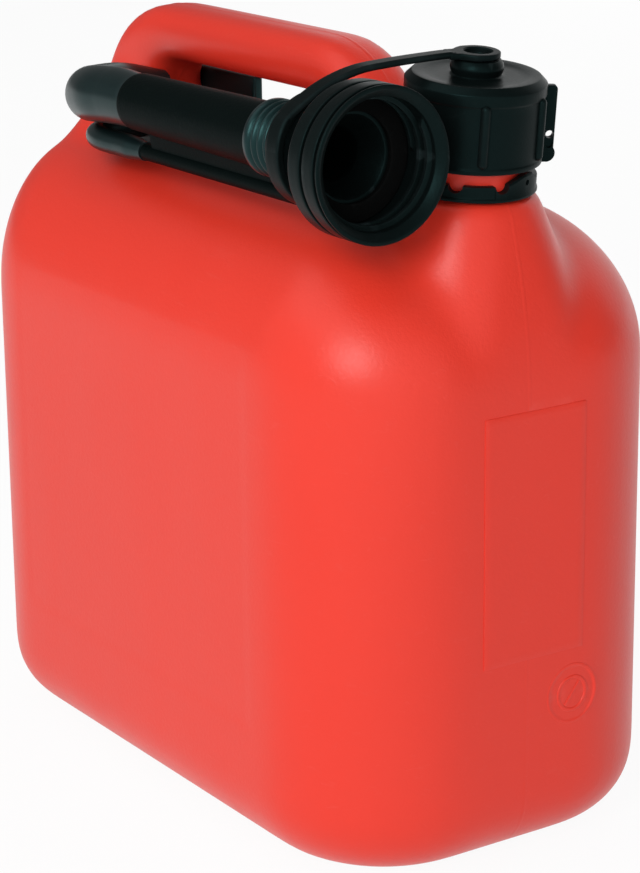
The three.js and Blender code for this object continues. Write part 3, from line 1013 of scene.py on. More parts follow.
@dataclass
class Tank:
    """The blow-moulded tank with its hollow handle and threaded neck."""

    corner_radius: float = 46.0
    base_radius: float = 23.0
    side_reach: float = 44.0
    front_reach: float = 60.0
    rear_reach: float = 18.0
    wall: float = 2.2
    grip_thickness: float = 18.4
    grip_edge: float = 8.1
    opening_height: float = 28.4
    opening_sink: float = 5.0
    opening_round: float = 16.0
    handle_round: float = 42.0
    handle_root: float = 32.0
    handle_front_gap: float = 7.1
    front_post: float = 20.0
    foot_rise: float = 25.5
    foot_depth: float = 11.0
    foot_reach: float = 30.0
    foot_round: float = 12.0
    shelf_radius: float = 20.4
    flare_reach: float = 20.0
    neck_wall: float = 2.2
    fillet: float = 7.0
    cell: float = 2.0
    inner_cell: float = 3.4
    panel_depth: float = 0.16
    panel_low: tuple[float, float] = (-76.0, 42.0)
    panel_high: tuple[float, float] = (70.0, 165.0)
    panel_slope: float = 3.2
    seam_height: float = 0.09
    handle_seam_height: float = 0.15
    seam_width: float = 0.5
    plate_sides: tuple[float, float] = (-16.6, 21.6)
    plate_low: float = 68.0
    plate_high: float = 147.0
    plate_proud: float = 0.22
    plate_root: float = 3.0
    plate_edge: float = 0.12
    dial_place: tuple[float, float] = (18.0, 53.0)
    dial_radius: float = 10.0
    dial_disc: float = 0.57
    dial_root: float = 1.6
    dial_edge: float = 0.2
    slot_half_width: float = 0.55
    slot_setback: float = 1.3
    slot_angle: float = -38.0
    panel_skirt: float = 14.0
    seam_foot: float = 6.0
    seam_fade: float = 8.0
    neck_root: float = 6.0
    bore_root: float = 9.0
    bore_over: float = 2.0
    foot_curve: float = 1.7
    flare_curve: float = 1.6
    corner_steps: int = 20
    base_steps: int = 14
    shoulder_steps: int = 24
    foot_steps: int = 20
    flare_steps: int = 24
    inset_share: float = 0.95

    def _level(self, draw: float, reaches: tuple[float, float, float], z: float) -> list[Vector]:
        """One level of the tank.

        Args:
            draw: From nought at the walls to one at the top or bottom face.
            reaches: How far the sides, the front and the rear are drawn in.
            z: The height.

        Returns:
            The ring of that level.
        """
        side, front, rear = reaches
        low = -LAYOUT.body_length / 2 + rear * draw
        high = LAYOUT.body_length / 2 - front * draw
        radius = max(self.corner_radius - side * draw, 1.0)
        half_y = LAYOUT.body_width / 2 - side * draw
        return rounded_ring((low + high) / 2, (high - low) / 2, half_y, radius, z, self.corner_steps)

    def _barrel(self, form: Form) -> None:
        """The tank without handle or neck."""
        rings = []
        base = (self.base_radius,) * 3
        for step in range(self.base_steps + 1):
            angle = step / self.base_steps * TURN / 4
            rings.append(self._level(1 - math.sin(angle), base, self.base_radius * (1 - math.cos(angle))))
        reaches = (self.side_reach, self.front_reach, self.rear_reach)
        for step in range(self.shoulder_steps + 1):
            angle = step / self.shoulder_steps * TURN / 4
            z = LAYOUT.tank_height - LAYOUT.shoulder_drop * (1 - math.sin(angle))
            rings.append(self._level(1 - math.cos(angle), reaches, z))
        form.loft(rings)

    def _side_loop(self, form: Form, low: Pair, high: Pair, corner: float) -> list[bmesh.types.BMEdge]:
        """An upright loop with two round upper corners, in the middle plane.

        Args:
            form: The form that takes it.
            low: X and Z of its rear lower corner.
            high: X and Z of its front upper corner.
            corner: The radius of the upper corners.

        Returns:
            The edges of the loop.
        """
        (x0, z0), (x1, z1) = low, high
        corners = [form.bm.verts.new((x, 0.0, z)) for x, z in ((x0, z0), (x1, z0), (x1, z1), (x0, z1))]
        form.bm.faces.new(corners)
        bmesh.ops.bevel(
            form.bm, geom=corners[2:], offset=corner, offset_type="OFFSET", affect="VERTICES", segments=18,
            profile=0.5, material=-1,
        )
        face = next(item for item in form.bm.faces if item.is_valid)
        edges = list(face.edges)
        bmesh.ops.delete(form.bm, geom=[face], context="FACES_ONLY")
        return edges

    def _handle(self, form: Form) -> None:
        """The handle: a side outline with its opening, given thickness and round edges."""
        front = LAYOUT.neck_x - LAYOUT.cap_radius - self.handle_front_gap
        roof = LAYOUT.tank_height + self.opening_height
        top = roof + self.grip_thickness
        root = LAYOUT.tank_height - self.handle_root
        floor = LAYOUT.tank_height - self.opening_sink
        outer = self._side_loop(form, (LAYOUT.handle_rear_x, root), (front, top), self.handle_round)
        inner = self._side_loop(
            form, (LAYOUT.opening_rear_x, floor), (front - self.front_post, roof), self.opening_round,
        )
        bmesh.ops.bridge_loops(form.bm, edges=outer + inner)
        form.thicken(LAYOUT.handle_width)
        bmesh.ops.recalc_face_normals(form.bm, faces=form.bm.faces)
        rims = [edge for edge in form.bm.edges if edge.calc_face_angle(0.0) > 1.2
                and abs(edge.verts[0].co.y - edge.verts[1].co.y) < 0.01]
        bmesh.ops.bevel(
            form.bm, geom=rims, offset=self.grip_edge, affect="EDGES", segments=8, profile=0.5, material=-1,
            clamp_overlap=False,
        )

    def _handle_foot(self, form: Form) -> None:
        """The rear foot of the handle, spreading into the shoulder."""
        top = LAYOUT.tank_height + self.opening_height + self.grip_thickness
        rings = []
        for step in range(self.foot_steps + 1):
            rise = step / self.foot_steps
            z = LAYOUT.tank_height - self.foot_depth + (self.foot_rise + self.foot_depth) * rise
            over = max(0.0, z - top + self.handle_round)
            low = LAYOUT.handle_rear_x + self.handle_round - math.sqrt(self.handle_round ** 2 - over ** 2)
            high = LAYOUT.opening_rear_x - LAYOUT.seat_gap
            half_x = (high - low) / 2
            half_y = LAYOUT.handle_width / 2 + self.foot_reach * (1 - rise) ** self.foot_curve
            radius = min(self.foot_round, self.inset_share * half_x, self.inset_share * half_y)
            rings.append(rounded_ring((low + high) / 2, half_x, half_y, radius, z, 10))
        form.loft(rings)

    def _neck_foot(self, form: Form) -> None:
        """The flared foot of the neck."""
        drop = LAYOUT.shelf_rise + LAYOUT.shoulder_drop
        rings = []
        for step in range(self.flare_steps + 1):
            rise = step / self.flare_steps
            gain = (self.shelf_radius - LAYOUT.neck_setback) * rise ** self.flare_curve
            front = LAYOUT.neck_setback + gain
            half_x = (self.shelf_radius + front) / 2
            half_y = self.shelf_radius + self.flare_reach * (1 - rise)
            z = LAYOUT.shelf_z - drop * (1 - rise)
            middle = LAYOUT.neck_x + (front - self.shelf_radius) / 2
            lean = LAYOUT.lean(rise ** 2, drop * (1 - rise))
            level = rounded_ring(middle, half_x, half_y, min(half_x, half_y), z, 18)
            rings.append([lean @ point for point in level])
        form.loft(rings)

    def _outside(self) -> bpy.types.Object:
        """The outside of tank, handle and feet under one skin."""
        forms = []
        for make in (self._barrel, self._handle, self._handle_foot, self._neck_foot):
            form = Form()
            make(form)
            forms.append(form.piece("tank_form"))
        whole = forms[0]
        gather = bmesh.new()
        for item in forms:
            gather.from_mesh(item.data)
        gather.to_mesh(whole.data)
        gather.free()
        for item in forms[1:]:
            bpy.data.objects.remove(item)
        return skin(whole, self.cell, 5, self.fillet)

    def _emboss(self, piece: bpy.types.Object) -> None:
        """Sinks the panels of both broad sides and raises the mould's seam line.

        Args:
            piece: The skinned tank.
        """
        shaped = bmesh.new()
        shaped.from_mesh(piece.data)
        bmesh.ops.scale(shaped, vec=(1 / MM,) * 3, verts=shaped.verts)
        (x0, z0), (x1, z1) = self.panel_low, self.panel_high
        for vert in shaped.verts:
            inside = min(vert.co.x - x0, x1 - vert.co.x, vert.co.z - z0, z1 - vert.co.z)
            if inside > 0 and abs(vert.co.y) > LAYOUT.body_width / 2 - self.panel_skirt:
                sink = self.panel_depth * ease(min(inside / self.panel_slope, 1.0))
                vert.co.y -= math.copysign(sink, vert.co.y)
        for shift in (-self.seam_width, 0.0, self.seam_width):
            everything = list(shaped.verts) + list(shaped.edges) + list(shaped.faces)
            bmesh.ops.bisect_plane(
                shaped, geom=everything, dist=0.02, plane_co=(0.0, shift, 0.0), plane_no=(0, 1, 0),
            )
        shaped.normal_update()
        gain = self.handle_seam_height - self.seam_height
        for vert in shaped.verts:
            if abs(vert.co.y) < 0.05 and vert.co.z > self.seam_foot:
                share = min(1.0, max(0.0, (vert.co.z - LAYOUT.tank_height) / self.seam_fade))
                vert.co += vert.normal * (self.seam_height + gain * share)
        bmesh.ops.scale(shaped, vec=(MM,) * 3, verts=shaped.verts)
        shaped.to_mesh(piece.data)
        shaped.free()

    def _neck(self) -> list[bpy.types.Object]:
        """The neck's threaded barrel with its lip and its thread."""
        shelf, top, radius = LAYOUT.shelf_z, LAYOUT.neck_top, LAYOUT.neck_radius
        pairs = hollow(0.0, radius, shelf - self.neck_root, top)
        barrel = Form().turned(pairs, Axis.UPRIGHT, LAYOUT.neck_axis).soften(0.9, 4)
        thread = Form().ridge(
            radius - LAYOUT.seat_gap, radius + LAYOUT.thread_depth, LAYOUT.thread_start, LAYOUT.neck_turns,
            Axis.UPRIGHT, LAYOUT.neck_axis,
        )
        return [leaned(barrel.piece("neck_barrel")), leaned(thread.piece("neck_thread"))]

    def _marks(self) -> list[bpy.types.Object]:
        """The plain raised plate and the mould's dial on the front end."""
        face = LAYOUT.body_length / 2
        low = Vector((face - self.plate_root, self.plate_sides[0], self.plate_low))
        high = Vector((face + self.plate_proud, self.plate_sides[1], self.plate_high))
        plate = Form().block(low, high).soften(self.plate_edge, 2)
        middle = Vector((0.0, *self.dial_place))
        rim, disc = self.dial_radius, self.dial_radius * self.dial_disc
        sink = face - self.dial_root
        pairs = [
            (0.0, sink), (rim, sink), (rim, face + 0.1), (rim - 1.0, face + 0.1), (rim - 1.4, face - 0.3),
            (disc + 0.5, face - 0.3), (disc + 0.2, face + 0.25), (disc - 0.8, face + 0.25),
            (disc - 1.1, face - 0.2), (0.0, face - 0.2),
        ]
        dial = Form().turned(pairs, Axis.LENGTHWISE, middle, 72).soften(self.dial_edge, 2)
        half, reach = self.slot_half_width, disc - self.slot_setback
        slot = Form().block(Vector((face - 0.6, -half, -reach)), Vector((face + 0.2, half, reach)))
        slot.roll(self.slot_angle, middle).soften(self.dial_edge, 2)
        return [plate.piece("front_plate"), dial.piece("dial"), slot.piece("dial_slot")]

    def build(self) -> bpy.types.Object:
        """Builds and dresses the tank.

        Returns:
            The finished piece.
        """
        tank = self._outside()
        tank.name = "tank_shell"
        inside = tank.copy()
        inside.data = tank.data.copy()
        bpy.context.scene.collection.objects.link(inside)
        shrink = inside.modifiers.new("wall", "DISPLACE")
        shrink.mid_level = 0.0
        shrink.strength = -self.wall * MM
        skin(inside, self.inner_cell, 1)
        self._emboss(tank)
        radius = LAYOUT.neck_radius - self.neck_wall
        pairs = hollow(0.0, radius, LAYOUT.shelf_z - self.bore_root, LAYOUT.neck_top + self.bore_over)
        bore = Form().turned(pairs, Axis.UPRIGHT, LAYOUT.neck_axis, 72)
        join(tank, Joinery.ADD, *self._neck(), *self._marks())
        join(tank, Joinery.CUT, inside, leaned(bore.piece("neck_bore")))
        dress(tank, RED_TANK.material(), Slot.RED, "can_body")
        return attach(tank, Body.CAN.value)


@dataclass
class NeckRing:
    """The black ring on the neck's shelf, with its notches and its seal lug."""

    height: float = 4.8
    radius: float = 20.5
    notch_radius: float = 2.2
    notch_angles: tuple[float, ...] = (-49.0, -8.0, 131.0, 172.0)
    lug_angle: float = 20.0
    lug_ramp: tuple[float, float] = (-34.0, 15.0)
    lug_rise: float = 2.5
    lug_climb: float = 0.7
    lug_fall: float = 0.86
    lug_end: float = 0.145
    lug_edge: float = 0.5
    lug_steps: int = 40
    eye_radius: float = 0.9

    def _lug(self, bore: float, low: float, high: float) -> Form:
        """The seal lug, a ramp that climbs out of the ring and ends round.

        Args:
            bore: The ring's bore.
            low: The height of the lug's foot.
            high: The height of the ring's upper edge.

        Returns:
            The lug's form.
        """
        first, last = self.lug_ramp
        rings = []
        for step in range(self.lug_steps + 1):
            share = step / self.lug_steps
            climb = ease(min(1.0, share / self.lug_climb))
            fall = math.sqrt(1 - (max(0.0, share - self.lug_fall) / self.lug_end) ** 2)
            edge = self.lug_edge
            top = high - edge + (self.lug_rise + edge) * climb * fall
            angle = math.radians(self.lug_angle + first + (last - first) * share)
            outer = self.radius - 0.1
            corners = ((bore, low), (outer, low), (outer, top - edge), (outer - edge, top),
                       (bore + edge, top), (bore, top - edge))
            rings.append([LAYOUT.neck_axis + Axis.UPRIGHT.place(radius, z, angle) for radius, z in corners])
        return Form().loft(rings)

    def build(self) -> bpy.types.Object:
        """Builds and dresses the ring.

        Returns:
            The finished piece.
        """
        low = LAYOUT.shelf_z + LAYOUT.seat_gap
        high = low + self.height
        bore = LAYOUT.neck_radius + LAYOUT.seat_gap
        pairs = [
            (bore, low), (self.radius, low), (self.radius, low + 0.9), (self.radius - 0.35, low + 1.2),
            (self.radius - 0.35, high), (bore, high),
        ]
        ring = Form().turned(pairs, Axis.UPRIGHT, LAYOUT.neck_axis).soften(0.25, 2).piece("neck_band")
        join(ring, Joinery.ADD, self._lug(bore, low + 0.5, high).piece("lug"))
        cuts = [(angle, self.notch_radius) for angle in self.notch_angles]
        cuts.append((self.lug_angle, self.eye_radius))
        for angle, radius in cuts:
            way = Axis.UPRIGHT.place(1.0, 0.0, math.radians(angle))
            foot = LAYOUT.neck_axis + Vector((0.0, 0.0, high))
            cut = Form().rod(radius, foot + way * (bore - 3), foot + way * (self.radius + 3))
            join(ring, Joinery.CUT, cut.piece("notch"))
        dress(leaned(ring), BLACK_SATIN.material(), Slot.BLACK, "neck_ring")
        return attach(ring, Body.CAN.value)


@dataclass
class ScrewCap:
    """The screw cap with its ribs, seal fin, knob, pin and gasket."""

    drop: float = 19.2
    turns: float = 1.5
    gasket_bore: float = 12.0
    rib_count: int = 6
    rib_radius: float = 1.5
    rib_length: float = 16.0
    rib_sink: float = 0.3
    rib_angle: float = -28.0
    fin_angle: float = 62.0
    fin_thickness: float = 2.6
    fin_height: float = 23.5
    fin_eyes: tuple[Pair, Pair] = ((5.6, 0.7), (8.6, 1.4))
    foot_radius: float = 2.7
    foot_bulge: float = 0.6
    fin_edge: float = 0.35
    fin_root: float = 1.2
    fin_corners: Pair = (2.6, 1.2)
    fin_eye_radius: float = 1.2
    knob_radius: float = 8.1
    knob_waist: float = 7.2
    pin_radius: float = 3.9
    pin_rise: float = 0.6
    pin_wall: float = 1.0
    pin_bore_depth: float = 4.0

    @property
    def bottom(self) -> float:
        """The height of the cap's lower edge."""
        return LAYOUT.neck_top - self.drop

    def _shell(self) -> Form:
        """The cap's turned body."""
        bore, radius = LAYOUT.cap_bore, LAYOUT.cap_radius
        rim, crown = LAYOUT.cap_rim, LAYOUT.cap_crown_z
        top = crown + LAYOUT.knob_height
        pin_top = LAYOUT.eyelet_z + self.pin_rise
        pin_bore = self.pin_radius - self.pin_wall
        shoulder = radius - LAYOUT.cap_chamfer
        pairs = [
            (0.0, LAYOUT.cap_inner_top), (bore, LAYOUT.cap_inner_top), (bore, self.bottom),
            (radius - 0.1, self.bottom), (radius - 0.1, self.bottom + 1.4), (radius - 0.4, self.bottom + 1.8),
            (radius - 0.4, rim - 3.8), (radius, rim - 3.2), (radius, rim), (shoulder, rim + 2.0),
            (shoulder - 0.9, rim + 2.0), (shoulder - 2.6, rim + 1.85), (shoulder - 5.0, crown),
            (self.knob_waist + 0.9, crown),
            (self.knob_waist + 0.2, crown + 0.4), (self.knob_radius - 0.25, crown + 1.4),
            (self.knob_radius, crown + 2.5), (self.knob_radius - 0.25, crown + 3.6),
            (self.knob_waist, top - 0.3), (self.knob_waist - 0.4, top), (self.pin_radius, top),
            (self.pin_radius, pin_top - 0.3), (self.pin_radius - 0.3, pin_top), (pin_bore, pin_top),
            (pin_bore, pin_top - self.pin_bore_depth), (0.0, pin_top - self.pin_bore_depth),
        ]
        return Form().turned(pairs, Axis.UPRIGHT, LAYOUT.neck_axis).soften(0.3, 2, 24.0)

    def _fin(self) -> bpy.types.Object:
        """The upright seal fin with its round foot and two small eyes above it."""
        radius = LAYOUT.cap_radius
        low, high = self.bottom - 1, self.bottom - 1 + self.fin_height
        plate = Form()
        x0, x1 = radius - self.fin_root, radius + LAYOUT.fin_reach
        corners = [plate.bm.verts.new((x, 0.0, z)) for x, z in ((x0, low), (x1, low), (x1, high), (x0, high))]
        plate.bm.faces.new(corners)
        for corner, offset in zip(corners[1:3], self.fin_corners):
            bmesh.ops.bevel(
                plate.bm, geom=[corner], offset=offset, affect="VERTICES", segments=6, profile=0.5,
                material=-1,
            )
        plate.thicken(self.fin_thickness).soften(self.fin_edge, 2, 60.0)
        bmesh.ops.translate(plate.bm, vec=LAYOUT.neck_axis, verts=plate.bm.verts)
        fin = plate.piece("cap_fin")
        reach = x1 - self.foot_radius + self.foot_bulge
        bulge = LAYOUT.neck_axis + Vector((reach, 0.0, low + self.foot_radius))
        half = Vector((0.0, self.fin_thickness / 2, 0.0))
        foot = Form().rod(self.foot_radius, bulge - half, bulge + half, 40).soften(self.fin_edge, 2, 60.0)
        join(fin, Joinery.ADD, foot.inset(0.4).piece("fin_foot"))
        side = Vector((0.0, 4.0, 0.0))
        cuts = []
        for height, depth in self.fin_eyes:
            eye = LAYOUT.neck_axis + Vector((radius + LAYOUT.fin_reach / 2 + 0.1, 0.0, low + height))
            floor = Vector((0.0, self.fin_thickness / 2 - depth, 0.0))
            cuts += [Form().rod(self.fin_eye_radius, eye + way * floor, eye + way * side, 24)
                     for way in (-1, 1)]
        join(fin, Joinery.CUT, *[cut.piece("eye") for cut in cuts])
        pivot = LAYOUT.neck_axis * MM
        spin = Matrix.Translation(pivot) @ Matrix.Rotation(math.radians(self.fin_angle), 4, "Z")
        fin.data.transform(spin @ Matrix.Translation(-pivot))
        return fin

    def build(self) -> list[bpy.types.Object]:
        """Builds and dresses the cap and its gasket.

        Returns:
            The finished pieces.
        """
        cap = self._shell().piece("screw_cap")
        thread = Form().ridge(
            LAYOUT.cap_bore + LAYOUT.seat_gap, LAYOUT.neck_radius + LAYOUT.crest_gap,
            LAYOUT.thread_start - 1.5 * LAYOUT.thread_pitch, self.turns, Axis.UPRIGHT, LAYOUT.neck_axis,
        )
        parts = [thread.piece("cap_thread"), self._fin()]
        for index in range(self.rib_count):
            foot = LAYOUT.neck_axis + Vector((LAYOUT.cap_radius - self.rib_sink, 0.0,
                                              self.bottom + 2 + self.rib_radius))
            rib = Form().capsule(self.rib_radius, foot, self.rib_length)
            rib.turn_about(self.rib_angle + index * 360 / self.rib_count, LAYOUT.neck_axis)
            parts.append(rib.piece("cap_rib"))
        join(cap, Joinery.ADD, *parts)
        dress(leaned(cap), BLACK_SATIN.material(), Slot.BLACK, "cap")
        low = LAYOUT.neck_top + LAYOUT.seat_gap
        outer = LAYOUT.cap_bore - LAYOUT.seat_gap
        pairs = hollow(self.gasket_bore, outer, low, LAYOUT.cap_inner_top)
        seal = Form().turned(pairs, Axis.UPRIGHT, LAYOUT.neck_axis).soften(0.3).piece("cap_seal")
        dress(leaned(seal), SEAL_RUBBER.material(), Slot.RUBBER, "cap_gasket")
        return [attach(cap, Body.CAP.value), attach(seal, Body.CAP.value)]


@dataclass
class TetherStrap:
    """The flat strap from the cap's pin to its ring on the spout."""

    width: float = 6.5
    eyelet_radius: float = 6.8
    tongue: float = 10.0
    pin_radius: float = 3.9
    flare: float = 2.2
    bow_shares: tuple[float, ...] = (0.4, 0.6, 0.8)
    bows: tuple[float, ...] = (4.9, 6.3, 4.8)
    root: float = 8.0
    proud: float = 0.3
    ring_width: float = 6.7
    land: float = 142.0
    wrap: float = 34.0
    touch: float = 0.34
    tail_sink: float = 0.3
    route_steps: int = 10
    wrap_steps: int = 16
    gap_half_angle: float = 11.0

    @property
    def angle(self) -> float:
        """The way from the cap to the ring, in plan."""
        eyelet = LAYOUT.lean() @ Vector((LAYOUT.neck_x, 0.0, LAYOUT.eyelet_z))
        return math.atan2(LAYOUT.spout_axis.y, LAYOUT.strap_x - eyelet.x)

    def _half_width(self, along: float) -> float:
        """Half the eyelet's width, some way along the strap from its middle."""
        circle = math.sqrt(max(self.eyelet_radius ** 2 - along ** 2, 0.0))
        half = self.width / 2
        flare = self.flare * min(1.0, along / 3) * min(1.0, (self.tongue - along) / 4)
        return (circle + half + math.hypot(circle - half, flare)) / 2

    def _eyelet(self) -> bpy.types.Object:
        """The eyelet round the cap's pin, flaring smoothly into its tongue."""
        low, high = LAYOUT.eyelet_z, LAYOUT.eyelet_z + LAYOUT.strap_thickness
        bore = self.pin_radius + LAYOUT.seat_gap
        outline = [Axis.UPRIGHT.place(self.eyelet_radius, 0.0, TURN / 4 + TURN / 2 * k / 36)
                   for k in range(37)]
        sides = [(self.tongue * k / 20, self._half_width(self.tongue * k / 20)) for k in range(1, 21)]
        outline += [Vector((along, -half, 0.0)) for along, half in sides]
        outline += [Vector((along, half, 0.0)) for along, half in reversed(sides)]
        rings = [[LAYOUT.neck_axis + point + Vector((0.0, 0.0, z)) for point in outline] for z in (low, high)]
        eyelet = Form().loft(rings).soften(0.45, 3, 60.0).inset(0.5)
        eyelet.turn_about(math.degrees(self.angle), LAYOUT.neck_axis)
        made = eyelet.piece("strap_eye")
        wide = bore + 0.4
        pairs = [(0.0, low - 1), (wide, low - 1), (wide, low), (bore, low + 0.4), (bore, high - 0.4),
                 (wide, high), (wide, high + 1), (0.0, high + 1)]
        join(made, Joinery.CUT, Form().turned(pairs, Axis.UPRIGHT, LAYOUT.neck_axis, 64).piece("eye"))
        dress(leaned(made), BLACK_STRAP.material(), Slot.BLACK, "strap_eyelet")
        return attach(made, Body.CARRIER.value)

    def _route(self) -> tuple[list[Vector], int]:
        """The middle line of the band.

        Returns:
            The points from the eyelet's tongue to the ring's near side, and the number of those on the
            free span.
        """
        level = LAYOUT.eyelet_z + LAYOUT.strap_thickness / 2
        radius = LAYOUT.strap_ring_bore + LAYOUT.strap_ring_wall + self.proud - LAYOUT.strap_thickness / 2
        start, onward = (
            LAYOUT.lean() @ (LAYOUT.neck_axis + Axis.UPRIGHT.place(self.root + step, level, self.angle))
            for step in (0.0, 4.0)
        )
        centre = LAYOUT.spout_axis + Vector((LAYOUT.strap_x, 0.0, 0.0))

        def on_ring(share: float) -> Vector:
            """A point of the part that lies on the ring."""
            sink = radius - self.tail_sink * max(0.0, share - self.touch) / (1 - self.touch)
            return centre + Axis.LENGTHWISE.place(sink, 0.0, math.radians(self.land + self.wrap * share))

        landing = on_ring(0.0)
        route = [start, onward]
        for share, bow in zip(self.bow_shares, self.bows):
            route.append(start.lerp(landing, share) + Vector((0.0, 0.0, bow)))
        whole = curve_points([*route, landing, on_ring(self.touch)], self.route_steps)
        free = whole[:len(route) * self.route_steps + 1]
        steps = self.wrap_steps
        return free + [on_ring(step / steps) for step in range(1, steps + 1)], len(free)

    def _sections(self) -> tuple[list[list[Vector]], list[Vector], int]:
        """The rings of the band's skin.

        Returns:
            The rings, the middle line and the index at which the free span is halved.
        """
        points, free = self._route()
        half, thick, edge, flat = self.width / 2, LAYOUT.strap_thickness / 2, 0.5, 1.2
        section = [
            (edge - half, -thick), (flat - half, -thick), (half - flat, -thick), (half - edge, -thick),
            (half, edge - thick), (half, thick - edge), (half - edge, thick), (half - flat, thick),
            (flat - half, thick), (edge - half, thick), (-half, thick - edge), (-half, edge - thick),
        ]
        rings = []
        for index, point in enumerate(points):
            along = (points[min(index + 1, len(points) - 1)] - points[max(index - 1, 0)]).normalized()
            share = min(1.0, index / free)
            level = Vector((-along.y, along.x, 0.0)).normalized()
            side = level.lerp(Vector((1.0, 0.0, 0.0)), ease(share))
            side = (side - along * side.dot(along)).normalized()
            up = along.cross(side)
            grow = min(1.0, 0.9 + 0.02 * index)
            rings.append([point + side * (a * grow) + up * (b * grow) for a, b in section])
        return rings, points, free // 2

    def build(self) -> list[bpy.types.Object]:
        """Builds and dresses the strap's pieces.

        Returns:
            The finished pieces.
        """
        rings, points, middle = self._sections()
        finish = BLACK_STRAP.material()
        made = []
        for name, part in (("strap_front", rings[:middle + 1]), ("strap_rear", rings[middle:])):
            made.append(dress(Form().loft(part).piece(name), finish, Slot.BLACK, "strap_band", sharp=60.0))
        front, rear = made
        half = points[middle] * MM
        points[2] * MM
        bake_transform(front)
        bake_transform(rear)
        return [self._eyelet(), front, rear, self._ring()]

    def _ring(self) -> bpy.types.Object:
        """The snap ring on the spout, open where the air tube passes."""
        bore = LAYOUT.strap_ring_bore
        outer = bore + LAYOUT.strap_ring_wall
        low, high = LAYOUT.strap_x - self.ring_width / 2, LAYOUT.strap_x + self.ring_width / 2
        gap = math.radians(self.gap_half_angle)
        offset = LAYOUT.vent_axis - LAYOUT.spout_axis
        start = math.atan2(offset.z, offset.y) + gap
        pairs = hollow(bore, outer, low, high)
        ring = Form().turned(pairs, Axis.LENGTHWISE, LAYOUT.spout_axis, 84, start, TURN - 2 * gap).soften(0.5)
        made = dress(ring.piece("strap_clip"), BLACK_STRAP.material(), Slot.BLACK, "strap_ring")
        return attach(made, Body.SPOUT.value)


